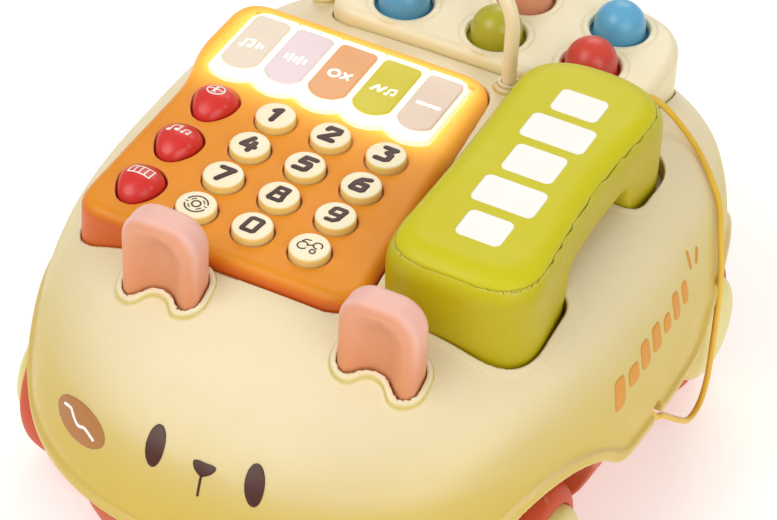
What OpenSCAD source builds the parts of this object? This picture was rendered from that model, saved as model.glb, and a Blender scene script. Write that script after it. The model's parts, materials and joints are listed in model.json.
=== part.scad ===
// Toy phone car: a loaf-shaped cream shell with a rabbit face on an orange
// chassis with four wheels. On top: a keypad with five piano keys, twelve
// round keys and three mode buttons, a lift-off handset on a cord, two ears,
// a deck with six pop-up balls and a bead arch.
// Millimetres. X to the right, -Y to the face, Z up, origin on the ground
// under the middle of the car.

/* [Body] */
// Half width of the shell at its widest
body_half_w = 105.5; // [95:0.5:115]
// Half length of the shell
body_half_l = 134.2; // [125:0.1:145]
// How far behind the origin the shell is at its widest
body_mid_y = 10; // [0:0.5:20]
// Superellipse exponent of the plan at the lower edge (2 = ellipse)
body_power = 2.5; // [2:0.05:3]
// Wall thickness of the shell
wall = 2.7; // [2:0.1:3.5]
// Number of sides the plan is built from
body_sides = 40; // [24:4:64]
// Radius of the wheel arches
wheel_arch_r = 38; // [34:0.5:42]

/* [Chassis] */
// Height of the chassis floor above the ground
floor_z = 16; // [12:0.5:22]
// Top edge of the chassis tub
tub_top = 64; // [60:0.5:66]
// Wheel well radius
well_r = 35; // [32:0.5:37]
// Wheel well inner face, from the centre plane
well_x = 55; // [52:0.5:57]

/* [Wheels] */
// Largest wheel radius
wheel_r = 30; // [26:0.5:32]
// Front axle position along Y
front_y = -64; // [-80:0.5:-50]
// Rear axle position along Y
rear_y = 66; // [50:0.5:80]
// Axle rod radius
axle_r = 2.5; // [2:0.1:3.5]
// Radial clearance of the axle in its bearings
axle_gap = 0.06; // [0.03:0.01:0.1]
// Outer shoulder of the tyre, from the centre plane
tyre_x = 94.2; // [88:0.1:98]
// Radius of the hub cap
cap_r = 19.9; // [16:0.1:22]

/* [Keypad] */
// Height of the keypad plate's top face
panel_z = 115; // [110:0.5:120]
// Spacing of the number keys across
key_pitch_x = 21; // [18:0.1:24]
// Spacing of the number keys along
key_pitch_y = 17.8; // [16:0.1:20]
// Number key radius
key_r = 6.9; // [6:0.1:7.5]
// How far the number keys stand above the plate
key_up = 2.6; // [1.5:0.1:4]
// Spacing of the piano keys
piano_pitch = 17.1; // [15:0.1:18]
// Width of one piano key
piano_w = 16.5; // [14:0.1:16.8]
// How far the mode buttons stand above the plate
button_up = 5; // [3:0.1:6]

/* [Ball deck] */
// Height of the deck's top face
deck_z = 114.5; // [110:0.5:120]
// Spacing of the balls across
ball_pitch_x = 36.4; // [32:0.1:38]
// Spacing of the balls along
ball_pitch_y = 24.3; // [24:0.1:28]
// Ball radius
ball_r = 9.2; // [8:0.1:9.8]
// Radius of the holes the balls come through
hole_r = 10.4; // [9:0.1:10.8]

/* [Handset] */
// Height of the joint between handset cover and body
seam_z = 133; // [125:0.5:140]
// Underside of the handle between the two end blocks
handle_z = 118; // [114:0.5:122]
// Underside of the end blocks
block_z = 99; // [96:0.5:104]
// Cord radius
cord_r = 1.1; // [0.8:0.05:2]

/* [Ears and arch] */
// Ear centre, from the centre plane
ear_x = 39.2; // [34:0.5:48]
// Ear centre along Y
ear_y = -80; // [-90:0.5:-70]
// Ear width
ear_w = 28; // [20:0.5:32]
// Ear thickness
ear_t = 13; // [9:0.5:16]
// Height of the ear's top
ear_top = 134; // [120:1:145]
// Bead arch tube radius
tube_r = 2.6; // [2:0.1:4]
// Bend radius of the bead arch
bend_r = 18; // [12:0.5:24]
// Height of the bead arch's centre line
arch_top = 154; // [140:1:170]

/* [Hidden] */
gap = 0.3;                // clearance between moulded pieces
steel = [0.75, 0.76, 0.78];
axle_z = wheel_r;
axle_ys = [front_y, rear_y];
screw_x = 34;             // housing screws, from the centre plane
screw_y = 112;            // housing screws, in front of and behind the origin
door_screw = [0, -33.6];
speaker_y = 84;
arch_right = [15.5, 59.6];  // foot of the bead arch near the handset
arch_left = [-68, 84];      // foot of the bead arch on the left
arch_right_z = 97.2;        // lower ends of the arch tube
arch_left_z = 86.2;

// --- helpers --------------------------------------------------------------
module extrude(bottom, top)
  translate([0, 0, bottom]) linear_extrude(height = top - bottom) children();
module prism(outline, bottom, top) extrude(bottom, top) polygon(outline);
// Upright cylinder at place [x, y]
module rod(place, bottom, top, radius, sides = 48)
  translate([place[0], place[1], bottom])
    cylinder(h = top - bottom, r = radius, $fn = sides);
// Cylinders along X and along Y
module x_rod(start_x, end_x, y, z, radius)
  translate([start_x, y, z]) rotate([0, 90, 0])
    cylinder(h = end_x - start_x, r = radius, $fn = 64);
module y_rod(start, length, radius, sides)
  translate(start) rotate([-90, 0, 0]) cylinder(h = length, r = radius, $fn = sides);

// Solid through rings of 3D points, listed from the bottom up
module ring_solid(rings) {
  sides = len(rings[0]);
  last = len(rings) - 1;
  polyhedron(
    points = [for (ring = rings) each ring],
    faces = concat([[for (k = [0:sides - 1]) k]],
      [for (i = [0:last - 1]) for (k = [0:sides - 1]) let (next = (k + 1) % sides)
        [i * sides + k, (i + 1) * sides + k, (i + 1) * sides + next, i * sides + next]],
      [[for (k = [sides - 1:-1:0]) last * sides + k]]));
}
// Solid through the rings of a swept wire, its sides split into triangles
module wire_solid(rings) {
  sides = len(rings[0]);
  last = len(rings) - 1;
  polyhedron(
    points = [for (ring = rings) each ring],
    faces = concat([[for (j = [sides - 1:-1:0]) j]],
      [for (i = [0:last - 1]) for (j = [0:sides - 1])
        let (a = i * sides, b = a + sides, next = (j + 1) % sides)
        each [[a + j, a + next, b + j], [a + next, b + next, b + j]]],
      [[for (j = [0:sides - 1]) last * sides + j]]));
}

// Superellipse plan of the body, with its own reach to the front and the rear
function body_outline(half_w, front, rear, power) = [for (k = [0:body_sides - 1])
  let (t = 360 * (k + 0.5) / body_sides,
       reach = sin(t) < 0 ? front + body_mid_y : rear - body_mid_y)
  [half_w * sign(cos(t)) * pow(abs(cos(t)), 2 / power),
   body_mid_y + reach * sign(sin(t)) * pow(abs(sin(t)), 2 / power)]];
// Solid through rows of [z, width, front, rear, exponent], sizes as shares of the body
module body_solid(rows) ring_solid([for (row = rows)
  [for (p = body_outline(row[1] * body_half_w, row[2] * body_half_l,
                         row[3] * body_half_l, row[4]))
    [p[0], p[1], row[0]]]]);
// Solid through rows of [z, scale], the outline scaled about the middle
module loft(outline, rows, middle) ring_solid([for (row = rows)
  [for (p = outline) let (q = middle + row[1] * (p - middle)) [q[0], q[1], row[0]]]]);

// --- outlines -------------------------------------------------------------
// Point on the line from one point towards another, at a distance
function along(from, to, distance) = from + (to - from) * distance / norm(to - from);
// Polygon with its corners [x, y, d] rounded off over the distance d
corner_steps = 6;
function rounded(corners) = [for (i = [0:len(corners) - 1])
  let (count = len(corners), corner = corners[i],
       before = corners[(i + count - 1) % count], after = corners[(i + 1) % count],
       p = [corner[0], corner[1]],
       start = along(p, [before[0], before[1]], corner[2]),
       end = along(p, [after[0], after[1]], corner[2]))
  for (j = [0:corner_steps]) let (u = j / corner_steps)
    start * (1 - u) * (1 - u) + p * 2 * u * (1 - u) + end * u * u];
// The same corners pushed away from the middle by extra
function grown(corners, extra, middle) = [for (c = corners)
  [c[0] + extra * sign(c[0] - middle[0]), c[1] + extra * sign(c[1] - middle[1]),
   max(0.5, c[2] + extra)]];

// Corners are [x, y, rounding distance]
panel_mid = [-30, -6];
panel_corners = [[-87, 57.6, 13], [-87.4, 23, 9], [-81.8, 7, 9],
  [-81.8, -70.6, 13], [24.6, -70.6, 13], [12.6, 57.6, 13]];
deck_mid = [0, 95];
deck_corners = [[-61, 66.8, 13], [61, 66.8, 13], [61, 122, 28], [-61, 122, 28]];
// End blocks of the handset: near is towards the face, far towards the rear
near_mid = [53.6, -43];
near_corners = [[28.6, -62, 14], [78.6, -62, 17], [78.6, -23.5, 8], [28.6, -23.5, 8]];
far_mid = [53.5, 43];
far_corners = [[28, 25, 8], [79, 25, 8], [79, 60.4, 17], [28, 60.4, 17]];
handset_mid = [51.6, -1];
handset_corners = [[23, -63, 22], [80, -63, 22], [80.6, 61.4, 27], [23, 61.4, 27]];
door_corners = [[-34, -30, 4], [34, -30, 4], [34, 30, 4], [-34, 30, 4]];
function panel_outline(extra = 0) = rounded(grown(panel_corners, extra, panel_mid));
function deck_outline(extra = 0) = rounded(grown(deck_corners, extra, deck_mid));
function near_outline(extra = 0) = rounded(grown(near_corners, extra, near_mid));
function far_outline(extra = 0) = rounded(grown(far_corners, extra, far_mid));
function handset_outline(extra = 0) = rounded(grown(handset_corners, extra, handset_mid));
function door_outline(extra = 0) = rounded(grown(door_corners, extra, [0, 0]));

// --- cord path ------------------------------------------------------------
// From the entry in the handset's far end, over the rear shoulder, down past
// the rear wheel and back up to the slot in the shell's edge
cord_path = [[62, 61.8, 113], [61.5, 65.5, 114.8], [61.4, 69.8, 116.6], [63, 74, 116],
  [69.5, 78, 108.4], [80.2, 73.8, 102.7], [89.3, 66.5, 98.6], [95.9, 61.6, 91.2],
  [100.7, 54, 82.5], [103.9, 49.4, 71], [104.6, 48.6, 56], [104.4, 49.2, 36.7],
  [104.4, 48.2, 23.7], [104.4, 43.4, 16.2], [104.4, 33.4, 17], [104.4, 19.8, 28.7],
  [104.4, 5.5, 42.6], [104.4, -0.4, 46.8], [104, -3.4, 50.2], [102.8, -4.9, 53],
  [100.8, -5.2, 54.4], [98.5, -5.2, 54.6], [96.5, -5.2, 54.6]];
cord_start = cord_path[0];
cord_end = cord_path[len(cord_path) - 1];

// --- shell ----------------------------------------------------------------
// Sides of the shell: height, share of the width, of the front and of the rear
// reach, exponent of the outline. The front is a straight slope to the face.
shell_rows = [[50, 1, 1, 1, body_power], [57, 1, 1, 1, body_power],
  [62, 0.998, 0.9925, 0.999, body_power], [68, 0.994, 0.976, 0.996, body_power],
  [74, 0.986, 0.954, 0.989, 2.52], [79, 0.975, 0.926, 0.976, 2.58],
  [84, 0.961, 0.884, 0.955, 2.66], [89, 0.942, 0.83, 0.925, 2.78],
  [94, 0.916, 0.769, 0.88, 2.9], [98, 0.885, 0.717, 0.82, 3],
  [101.5, 0.849, 0.668, 0.75, 3], [104.5, 0.81, 0.623, 0.68, 3],
  [107, 0.764, 0.586, 0.61, 3], [109, 0.716, 0.554, 0.545, 3],
  [110.4, 0.66, 0.529, 0.49, 3], [111.4, 0.59, 0.495, 0.43, 3],
  [112, 0.47, 0.42, 0.33, 3]];
// Heights the inside of the shell is built at
inner_heights = [49, 57, 66, 74, 79, 84, 89, 93, 96.5, 99.5, 102, 104.3, 106.3, 107.8, 108.8];
// [z, size] pairs from one column of the rows
function column(index, size) = [for (row = shell_rows) [row[0], size * row[index]]];
// Reach of the same sides one wall further in, as a share of size
function inset(z, index, size) = let (sides = column(index, size))
  min([for (d = [0:0.3:wall]) lookup(z + d, sides) - sqrt(wall * wall - d * d)]) / size;
// A slightly wider band runs round the lower edge
shell_outer = concat([[50, 1.004, 1.004, 1.004, body_power],
  [54.4, 1.007, 1.007, 1.007, body_power], [55.4, 0.996, 0.996, 0.996, body_power]],
  [for (i = [1:len(shell_rows) - 1]) shell_rows[i]]);
shell_inner = [for (z = inner_heights)
  [z, inset(z, 1, body_half_w), inset(z, 2, body_half_l), inset(z, 3, body_half_l),
   lookup(z, column(4, 1))]];
rear_post_top = 83.4;
ear_rim = 2.4;        // width of the sleeve round each ear
// Slot in the lower edge for the cord: half width and centre of its round top
slot_r = 3.1;
slot_y = -4.3;
slot_z = 54.2;

module ear_section(extra = 0) {
  half_w = ear_w / 2 + extra;
  half_t = ear_t / 2 + extra;
  corner_r = 5 + extra;
  union() {
    square([2 * half_w, 2 * (half_t - corner_r)], center = true);
    square([2 * (half_w - corner_r), 2 * half_t], center = true);
    for (i = [-1, 1]) for (j = [-1, 1])
      translate([i * (half_w - corner_r), j * (half_t - corner_r)])
        circle(r = corner_r, $fn = 48);
  }
}
module at_ears() for (side = [-1, 1]) translate([side * ear_x, ear_y, 0]) children();
module at_screws(radius, bottom, top, ys = [-screw_y, screw_y])
  for (x = [-screw_x, screw_x]) for (y = ys) rod([x, y], bottom, top, radius);
// Stepped collar round a foot of the bead arch
module arch_collar(foot, bottom, top) {
  rod(foot, bottom, top, 5.2);
  rod(foot, bottom, top + 1.6, 4);
}

module upper_shell() color([0.95, 0.88, 0.72]) difference() {
  union() {
    difference() {
      body_solid(shell_outer);
      body_solid(shell_inner);
    }
    // pockets under the handset, screw posts, arch and ear sockets, kept inside
    intersection() {
      body_solid(shell_outer);
      union() {
        prism(near_outline(3), block_z - 2.8, 110);
        prism(far_outline(3), block_z - 2.8, 110);
        at_screws(4.2, tub_top + 0.3, 106, [-screw_y]);
        // rear posts stand on ribs under the deck
        at_screws(4.2, tub_top + 0.3, rear_post_top, [screw_y]);
        for (x = [-screw_x, screw_x])
          translate([x - 1.5, screw_y, 66]) cube([3, 30, rear_post_top - 66]);
        rod(arch_right, 95, 107, 5.2);
        rod(arch_left, 84, 100, 5.2);
        at_ears() extrude(92, 110) ear_section(ear_rim);
      }
    }
    // raised lips round the ears
    intersection() {
      translate([0, 0, 1.6]) body_solid(shell_outer);
      at_ears() extrude(96, 112) ear_section(ear_rim);
    }
    arch_collar(arch_right, 104, 112.3);
    arch_collar(arch_left, 92, 104);
  }
  // openings for the keypad, the deck, the handset blocks and the ears
  prism(panel_outline(gap), 90, 120);
  prism(deck_outline(gap), 83.6, 120);
  prism(near_outline(0.8), block_z - 0.2, 120);
  prism(far_outline(0.8), block_z - 0.2, 120);
  at_ears() extrude(90, 120) ear_section(gap);
  for (y = axle_ys) x_rod(-120, 120, y, axle_z, wheel_arch_r);
  at_screws(1.66, 60, 80);
  rod(arch_right, arch_right_z - 0.2, 118, tube_r + 0.05);
  rod(arch_left, arch_left_z - 0.2, 112, tube_r + 0.05);
  translate([98, slot_y - slot_r, 40]) cube([12, 2 * slot_r, slot_z - 40]);
  x_rod(98, 110, slot_y, slot_z, slot_r);
}

// --- chassis --------------------------------------------------------------
// Rows are [z, share of the width, share of the front and rear reach]
tub_sides = [[floor_z, 0.77, 0.86], [19, 0.8, 0.9], [24, 0.835, 0.928],
  [30, 0.87, 0.94], [40, 0.91, 0.945], [50, 0.945, 0.95]];
tub_inner = [[floor_z + 2.6, 0.755, 0.845], [24, 0.8, 0.893], [30, 0.838, 0.908],
  [40, 0.88, 0.915], [50, 0.915, 0.92], [tub_top + 1, 0.92, 0.92]];
module tub_solid(rows)
  body_solid([for (row = rows) [row[0], row[1], row[2], row[2], body_power]]);
module tub_outer(top) tub_solid(concat(tub_sides, [[top, 0.95, 0.95]]));
// Wheel wells, open towards the front and the rear, grown by extra
module wells(extra = 0) for (side = [-1, 1]) scale([side, 1, 1]) {
  for (y = axle_ys) x_rod(well_x - extra, 130, y, axle_z, well_r + extra);
  translate([well_x - extra, -160, -10]) cube([80, 160 + front_y, 58 + extra]);
  translate([well_x - extra, rear_y, -10]) cube([80, 160 - rear_y, 58 + extra]);
}
module base_tray() color([0.85, 0.42, 0.16]) difference() {
  union() {
    difference() {
      tub_outer(tub_top);
      tub_solid(tub_inner);
    }
    // walls of the wheel wells and axle bearings
    intersection() {
      tub_outer(tub_top + 5);
      union() {
        wells(2.4);
        for (y = axle_ys) for (x = [-well_x, well_x - 10])
          x_rod(x, x + 10, y, axle_z, 6.5);
      }
    }
    at_screws(5.4, floor_z + 1, tub_top);
    // battery box walls
    difference() {
      prism(door_outline(2), floor_z + 1, 38);
      prism(door_outline(), floor_z, 39);
    }
    rod(door_screw, floor_z + 1, 26, 3.6);
  }
  wells();
  for (y = axle_ys) x_rod(-60, 60, y, axle_z, axle_r + axle_gap);
  // wide bores for the screw heads, narrow ones for the shanks
  at_screws(3.5, floor_z - 1, 54);
  at_screws(1.9, 50, 66);
  // battery door opening, its screw hole and the recess for its tab
  prism(door_outline(), floor_z - 1, floor_z + 3);
  rod(door_screw, floor_z - 1, 25, 1.3);
  translate([-5, -38.6, floor_z - 1]) cube([10, 9, 2.4]);
  // slot of the power switch and sound holes of the speaker
  translate([-8, 45, floor_z - 1]) cube([16, 6, 5]);
  for (i = [0:5])
    rod([9 * cos(60 * i), speaker_y + 9 * sin(60 * i)], floor_z - 1, floor_z + 5, 1.6);
  rod([0, speaker_y], floor_z - 1, floor_z + 5, 1.6);
  // hole for the cord in the right side, behind the shell's lip
  x_rod(90, 115, cord_end[1], cord_end[2], cord_r + 0.4);
}

// --- ball deck ------------------------------------------------------------
ball_front_y = 81.7;       // front row of balls
deck_under_z = deck_z - 2.5;
function ball_place(i) =
  [(i % 3 - 1) * ball_pitch_x, ball_front_y + floor(i / 3) * ball_pitch_y];
module ball_deck() color([0.94, 0.87, 0.72]) difference() {
  union() {
    difference() {
      loft(deck_outline(),
        [[84, 1], [110.4, 1], [112.8, 0.985], [114, 0.965], [deck_z, 0.94]], deck_mid);
      prism(deck_outline(-2.4), 80, deck_under_z);
    }
    // sleeves that guide the balls
    for (i = [0:5]) rod(ball_place(i), 88, deck_z - 1, 13);
  }
  for (i = [0:5]) {
    rod(ball_place(i), 80, deck_under_z, 11.6);
    rod(ball_place(i), 80, deck_z + 2, hole_r);
  }
}
module ball_tray() color([0.9, 0.88, 0.82]) difference() {
  prism(deck_outline(-2.8), 85.6, 87.9);
  for (x = [-ball_pitch_x / 2, ball_pitch_x / 2])
    rod([x, ball_front_y + ball_pitch_y / 2], 80, 90, 4);
}

// --- keypad ---------------------------------------------------------------
key_left_x = -43.05;       // first key column
key_rear_y = -0.2;         // first key row
piano_left_x = -69.4;      // first piano key
piano_y = 4;               // the piano keys' outlines are measured from here
piano_plunger_y = 32;
button_x = -66.3;          // mode button column
button_ys = [-2.4, -26.8, -51.6];
panel_under_z = panel_z - 2.4;
pcb_bottom = 100.2;
pcb_top = 101.8;
pcb_posts = [[-54.6, -44], [13.4, -26], [13.4, -60], [-54.6, -10]];
plunger_z = 107.4;         // lower end of the plungers under all keys
plunger_r = 2.6;
key_body_z = 111.6;        // underside of piano keys and mode buttons

function key_place(i) =
  [key_left_x + (i % 3) * key_pitch_x, key_rear_y - floor(i / 3) * key_pitch_y];
function piano_x(i) = piano_left_x + i * piano_pitch;
function button_place(i) = [button_x, button_ys[i]];

// Straight-sided tab along +Y with a round nose, cut off at y = 0 and end
module nosed_tab(width, nose_y, nose_r, end, sides) intersection() {
  union() {
    translate([-width / 2, nose_y]) square([width, end - nose_y]);
    translate([0, nose_y]) circle(r = nose_r, $fn = sides);
  }
  translate([-width / 2, 0]) square([width, end]);
}
module piano_shape(i, extra = 0) translate([piano_x(i), piano_y])
  nosed_tab(piano_w + 2 * extra, 18.5, 11.5 + extra, 45.9 + extra, 72);
// Rounded triangle
module button_shape(i, extra = 0)
  translate([button_x + 0.2, button_ys[i]]) rotate(8) intersection() {
    translate([-7 * cos(30), 7 * sin(30)]) circle(r = 15 + extra, $fn = 72);
    translate([7 * cos(30), 7 * sin(30)]) circle(r = 15 + extra, $fn = 72);
    translate([0, -7]) circle(r = 17.4 + extra, $fn = 72);
    circle(r = 9.3 + extra, $fn = 72);
  }
// Slice of the panel whose outline shrinks from one scale to another
module panel_step(bottom, top, start_scale, end_scale)
  translate([panel_mid[0], panel_mid[1], bottom])
    linear_extrude(height = top - bottom, scale = end_scale / start_scale)
      scale(start_scale) translate(-panel_mid) polygon(panel_outline());

module keypad_panel() color([0.93, 0.62, 0.18]) difference() {
  union() {
    difference() {
      union() {
        prism(panel_outline(), 92, 111);
        // two sloping steps round the top edge
        panel_step(111, 113.6, 1, 0.982);
        panel_step(113.6, panel_z, 0.982, 0.95);
      }
      prism(panel_outline(-2.4), 90, panel_under_z);
    }
    // posts that rest on the circuit board, with pins through it
    for (post = pcb_posts) {
      rod(post, pcb_top, panel_z - 1, 2.3);
      rod(post, 99.2, 102, 1.4);
    }
  }
  for (i = [0:11]) rod(key_place(i), 100, 120, key_r + 0.55, 64);
  for (i = [0:2]) extrude(100, 120) button_shape(i, 0.5);
  for (i = [0:4]) extrude(100, 120) piano_shape(i, 0.35);
}
module key_mat() color([0.85, 0.85, 0.82]) {
  nub_z = 103;
  nub_top = 105.1;
  difference() {
    union() {
      prism(panel_outline(-4.2), 102.2, 103.4);
      for (i = [0:11]) translate([key_place(i)[0], key_place(i)[1], nub_z])
        cylinder(h = nub_top - nub_z, r1 = 5, r2 = 3.2, $fn = 32);
      for (i = [0:2]) rod(button_place(i), nub_z, nub_top, 3.6);
      for (i = [0:4]) rod([piano_x(i), piano_plunger_y], nub_z, nub_top, 4);
    }
    for (post = pcb_posts) rod(post, 100, 110, 3);
  }
}
module main_pcb() color([0.1, 0.4, 0.2]) difference() {
  union() {
    prism(panel_outline(-4.2), pcb_bottom, pcb_top);
    // two square blocks and a round one on the underside
    translate([-50, -20, 97.4]) cube([14, 14, 3]);
    translate([-20, 10, 96.8]) cube([20, 12, 3.6]);
    rod([-60, 30], 90, 100.4, 4);
  }
  for (post = pcb_posts) rod(post, 90, 110, 1.5);
}

module piano_key(i) color([0.98, 0.95, 0.88]) union() {
  lip_z = 110.6;
  extrude(key_body_z, panel_z + 1.7) piano_shape(i);
  // stop lips under the plate at both ends, and the plunger
  translate([piano_x(i) - 5, 8.8, lip_z]) cube([10, 8, 1.9]);
  translate([piano_x(i) - 7, 48, lip_z]) cube([14, 4.2, 1.9]);
  rod([piano_x(i), piano_plunger_y], plunger_z, 112, plunger_r);
  // raised plate on top
  translate([piano_x(i), piano_y, 0]) extrude(panel_z + 1.2, panel_z + 2.3)
    nosed_tab(15, 20.9, 8.2, 42.5, 64);
}
module mode_button(i) color([0.88, 0.2, 0.18]) union() {
  dome_r = 16;
  top = panel_z + button_up;
  intersection() {
    extrude(key_body_z, top) button_shape(i);
    translate([button_x, button_ys[i], top - dome_r]) sphere(r = dome_r, $fn = 96);
  }
  // flange under the plate, and the plunger
  extrude(110.8, 112.4) button_shape(i, 1);
  rod(button_place(i), plunger_z, 112, plunger_r);
}
module round_key(i) color([0.98, 0.94, 0.82]) translate(concat(key_place(i), 0)) {
  flange_r = 8.2;
  flange_z = 110.8;
  flange_top = 112.4;
  top = panel_z + key_up;
  rotate_extrude($fn = 64) polygon([[0, plunger_z], [plunger_r, plunger_z],
    [plunger_r, flange_z], [flange_r, flange_z], [flange_r, flange_top],
    [key_r, flange_top], [key_r, top - 0.8], [key_r - 0.25, top - 0.3],
    [key_r - 0.8, top], [0, top]]);
}

// --- parts in the chassis -------------------------------------------------
module speaker() color([0.2, 0.2, 0.22])
  translate([0, speaker_y, floor_z + 2.7]) rotate_extrude($fn = 64)
    polygon([[0, 0.4], [10, 0.4], [14, 2.2], [16, 0], [18, 0], [18, 3],
      [15, 5.5], [11, 8], [11, 14], [0, 14]]);
// Three cells side by side, each with its contact to the rear
module batteries() color([0.5, 0.55, 0.6])
  for (i = [-1, 0, 1]) translate([i * 16.4, 0, 0]) {
    y_rod([0, -24.6, 27], 48.4, 7.1, 48);
    y_rod([0, 23.7, 27], 1.9, 2.7, 32);
  }
module battery_door() color([0.82, 0.4, 0.15]) difference() {
  union() {
    prism(door_outline(-gap), floor_z, floor_z + 2.4);
    // screw tab and two ribs
    translate([-4.7, -38.2, floor_z]) cube([9.4, 9, 1.2]);
    for (x = [-8.2, 8.2]) translate([x - 0.6, -18, floor_z + 2.2]) cube([1.2, 36, 1.4]);
  }
  rod(door_screw, floor_z - 1, 20, 1.7);
}
// Cross-head screw, head down; slot is the size [length, width, height] of
// each cross cut, which starts at slot_bottom
module screw(place, head_bottom, head_top, head_r, tip, shank_r, slot, slot_bottom)
  difference() {
    union() {
      rod(place, head_bottom, head_top, head_r);
      rod(place, head_top - 0.5, tip, shank_r);
    }
    for (size = [slot, [slot[1], slot[0], slot[2]]])
      translate([place[0] - size[0] / 2, place[1] - size[1] / 2, slot_bottom]) cube(size);
  }
module battery_door_screw() color(steel)
  screw(door_screw, head_bottom = floor_z - 1.5, head_top = floor_z, head_r = 2.8,
    tip = 24, shank_r = 1.25, slot = [3.2, 0.6, 1.3], slot_bottom = floor_z - 2);
module housing_screws() color(steel)
  for (x = [-screw_x, screw_x]) for (y = [-screw_y, screw_y])
    screw([x, y], head_bottom = 52, head_top = 54, head_r = 3.1,
      tip = 78, shank_r = 1.6, slot = [4, 0.7, 2], slot_bottom = 51);
module power_switch() color([0.15, 0.15, 0.16]) union() {
  translate([-7.6, 45.5, floor_z - 0.4]) cube([8, 5, 3.2]);
  translate([-10, 43, floor_z + 2.8]) cube([13, 10, 1.6]);
}

// --- handset --------------------------------------------------------------
waist_r = 175;             // radius of the hollow curves in the handle's sides
module waist() {
  rod([77.2 + waist_r, 1], 90, 150, waist_r);
  rod([26.6 - waist_r, 1], 90, 150, waist_r);
}
module handset_body() color([0.8, 0.78, 0.16]) difference() {
  union() {
    difference() {
      loft(handset_outline(), [[116.4, 0.95], [119.5, 0.985], [123, 1], [129.5, 1],
        [132, 0.985], [seam_z, 0.965]], handset_mid);
      translate([20, -21, 100]) cube([70, 44, handle_z - 100]);
    }
    prism(near_outline(), block_z, 120);
    prism(far_outline(), block_z, 120);
  }
  // inside of the handle and of the two blocks
  prism(handset_outline(-6), handle_z + 3, seam_z + 2);
  prism(near_outline(-3), block_z + 2.6, seam_z);
  prism(far_outline(-3), block_z + 2.6, seam_z);
  // the waist is cut between the two blocks only
  difference() {
    waist();
    for (y = [30, -140]) translate([0, y, 90]) cube([200, 100, 60]);
  }
  // sound holes of the mouthpiece and earpiece
  for (y = [-42, 44]) for (i = [0:4])
    rod([53 + 7 * cos(72 * i), y + 7 * sin(72 * i)], block_z - 1, block_z + 4, 1.2);
  // cord entry at the far end
  y_rod([cord_start[0], 48, cord_start[2]], 24, cord_r + 0.35, 24);
}
module handset_cover() color([0.84, 0.82, 0.18])
  loft(handset_outline(-2.6), [[seam_z + 0.02, 0.985], [seam_z + 1.4, 0.98],
    [seam_z + 2.8, 0.95], [seam_z + 3.7, 0.89], [seam_z + 4, 0.8]], handset_mid);

// Point halfway from point i to the next, on a smooth curve through the path
function halfway(path, i) =
  (-path[max(i - 1, 0)] + 9 * path[i] + 9 * path[i + 1]
   - path[min(i + 2, len(path) - 1)]) / 16;
function finer(path) = concat(
  [for (i = [0:len(path) - 2]) each [path[i], halfway(path, i)]], [path[len(path) - 1]]);
function unit(v) = v / norm(v);
module tube(path, radius, sides = 8) {
  last = len(path) - 1;
  // no stretch of the path runs along this direction
  reference = [0.8, 0.25, 0.55];
  wire_solid([for (i = [0:last])
    let (ahead = unit(path[min(i + 1, last)] - path[max(i - 1, 0)]),
         across = unit(cross(ahead, reference)), up = cross(ahead, across))
    [for (j = [0:sides - 1]) let (turn = 360 * j / sides)
      path[i] + radius * (cos(turn) * across + sin(turn) * up)]]);
}
module handset_cord() color([0.88, 0.72, 0.15]) tube(finer(cord_path), cord_r);

// --- ears and arch --------------------------------------------------------
// Extrudes a drawing of X and Z through the thickness of the ear
module front_view() rotate([90, 0, 0]) extrude(-20, 20) children();
module ear(side) color([0.93, 0.68, 0.56])
  translate([side * ear_x, ear_y, 0]) difference() {
    shoulder_r = 10;
    hollow_r = 9.2;
    intersection() {
      extrude(91, 154) ear_section();
      front_view() {
        translate([-ear_w / 2, 90]) square([ear_w, ear_top - shoulder_r - 90]);
        translate([-ear_w / 2 + shoulder_r, 90])
          square([ear_w - 2 * shoulder_r, ear_top - 90]);
        for (i = [-1, 1])
          translate([i * (ear_w / 2 - shoulder_r), ear_top - shoulder_r])
            circle(r = shoulder_r, $fn = 64);
      }
    }
    // hollow front
    translate([0, -ear_t / 2 - 4.6, 0]) intersection() {
      rod([0, 0], 90, ear_top - 5, hollow_r, 64);
      front_view() {
        translate([-hollow_r, 80]) square([2 * hollow_r, ear_top - 13 - 80]);
        translate([0, ear_top - 14]) circle(r = hollow_r, $fn = 64);
      }
    }
  }
module arch_tube() color([0.94, 0.87, 0.74]) {
  feet = arch_left - arch_right;
  span = norm(feet);
  leg_top = arch_top - bend_r;
  translate([arch_right[0], arch_right[1], 0])
    rotate([0, 0, atan2(feet[1], feet[0])]) union() {
      rod([0, 0], arch_right_z, leg_top, tube_r);
      rod([span, 0], arch_left_z, leg_top, tube_r);
      translate([bend_r, 0, arch_top]) rotate([0, 90, 0])
        cylinder(h = span - 2 * bend_r, r = tube_r, $fn = 48);
      // bends as [distance from the right foot, turn about Z]
      for (bend = [[bend_r, 180], [span - bend_r, 0]])
        translate([bend[0], 0, leg_top]) rotate([90, 0, bend[1]])
          rotate_extrude(angle = 90, $fn = 96)
            translate([bend_r, 0]) circle(r = tube_r, $fn = 48);
    }
}

// --- balls and springs ----------------------------------------------------
ball_z = deck_z + 1.6;     // ball centre height
ball_bottom = 109.8;
ball_colors = [[0.35, 0.65, 0.85], [0.75, 0.73, 0.15], [0.85, 0.25, 0.2],
  [0.92, 0.62, 0.2], [0.92, 0.6, 0.45], [0.4, 0.7, 0.85]];
module pop_ball(i) color(ball_colors[i]) translate(concat(ball_place(i), 0)) difference() {
  union() {
    intersection() {
      translate([0, 0, ball_z]) sphere(r = ball_r, $fn = 96);
      rod([0, 0], ball_z - 0.5, ball_z + 20, 20, 64);
    }
    // straight lower part, and the flange that stops under the deck
    rod([0, 0], ball_bottom, ball_z, ball_r, 64);
    rod([0, 0], ball_bottom, deck_under_z - 0.2, 11.2, 64);
  }
  rod([0, 0], 109, 113, 7.4, 64);
}
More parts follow.
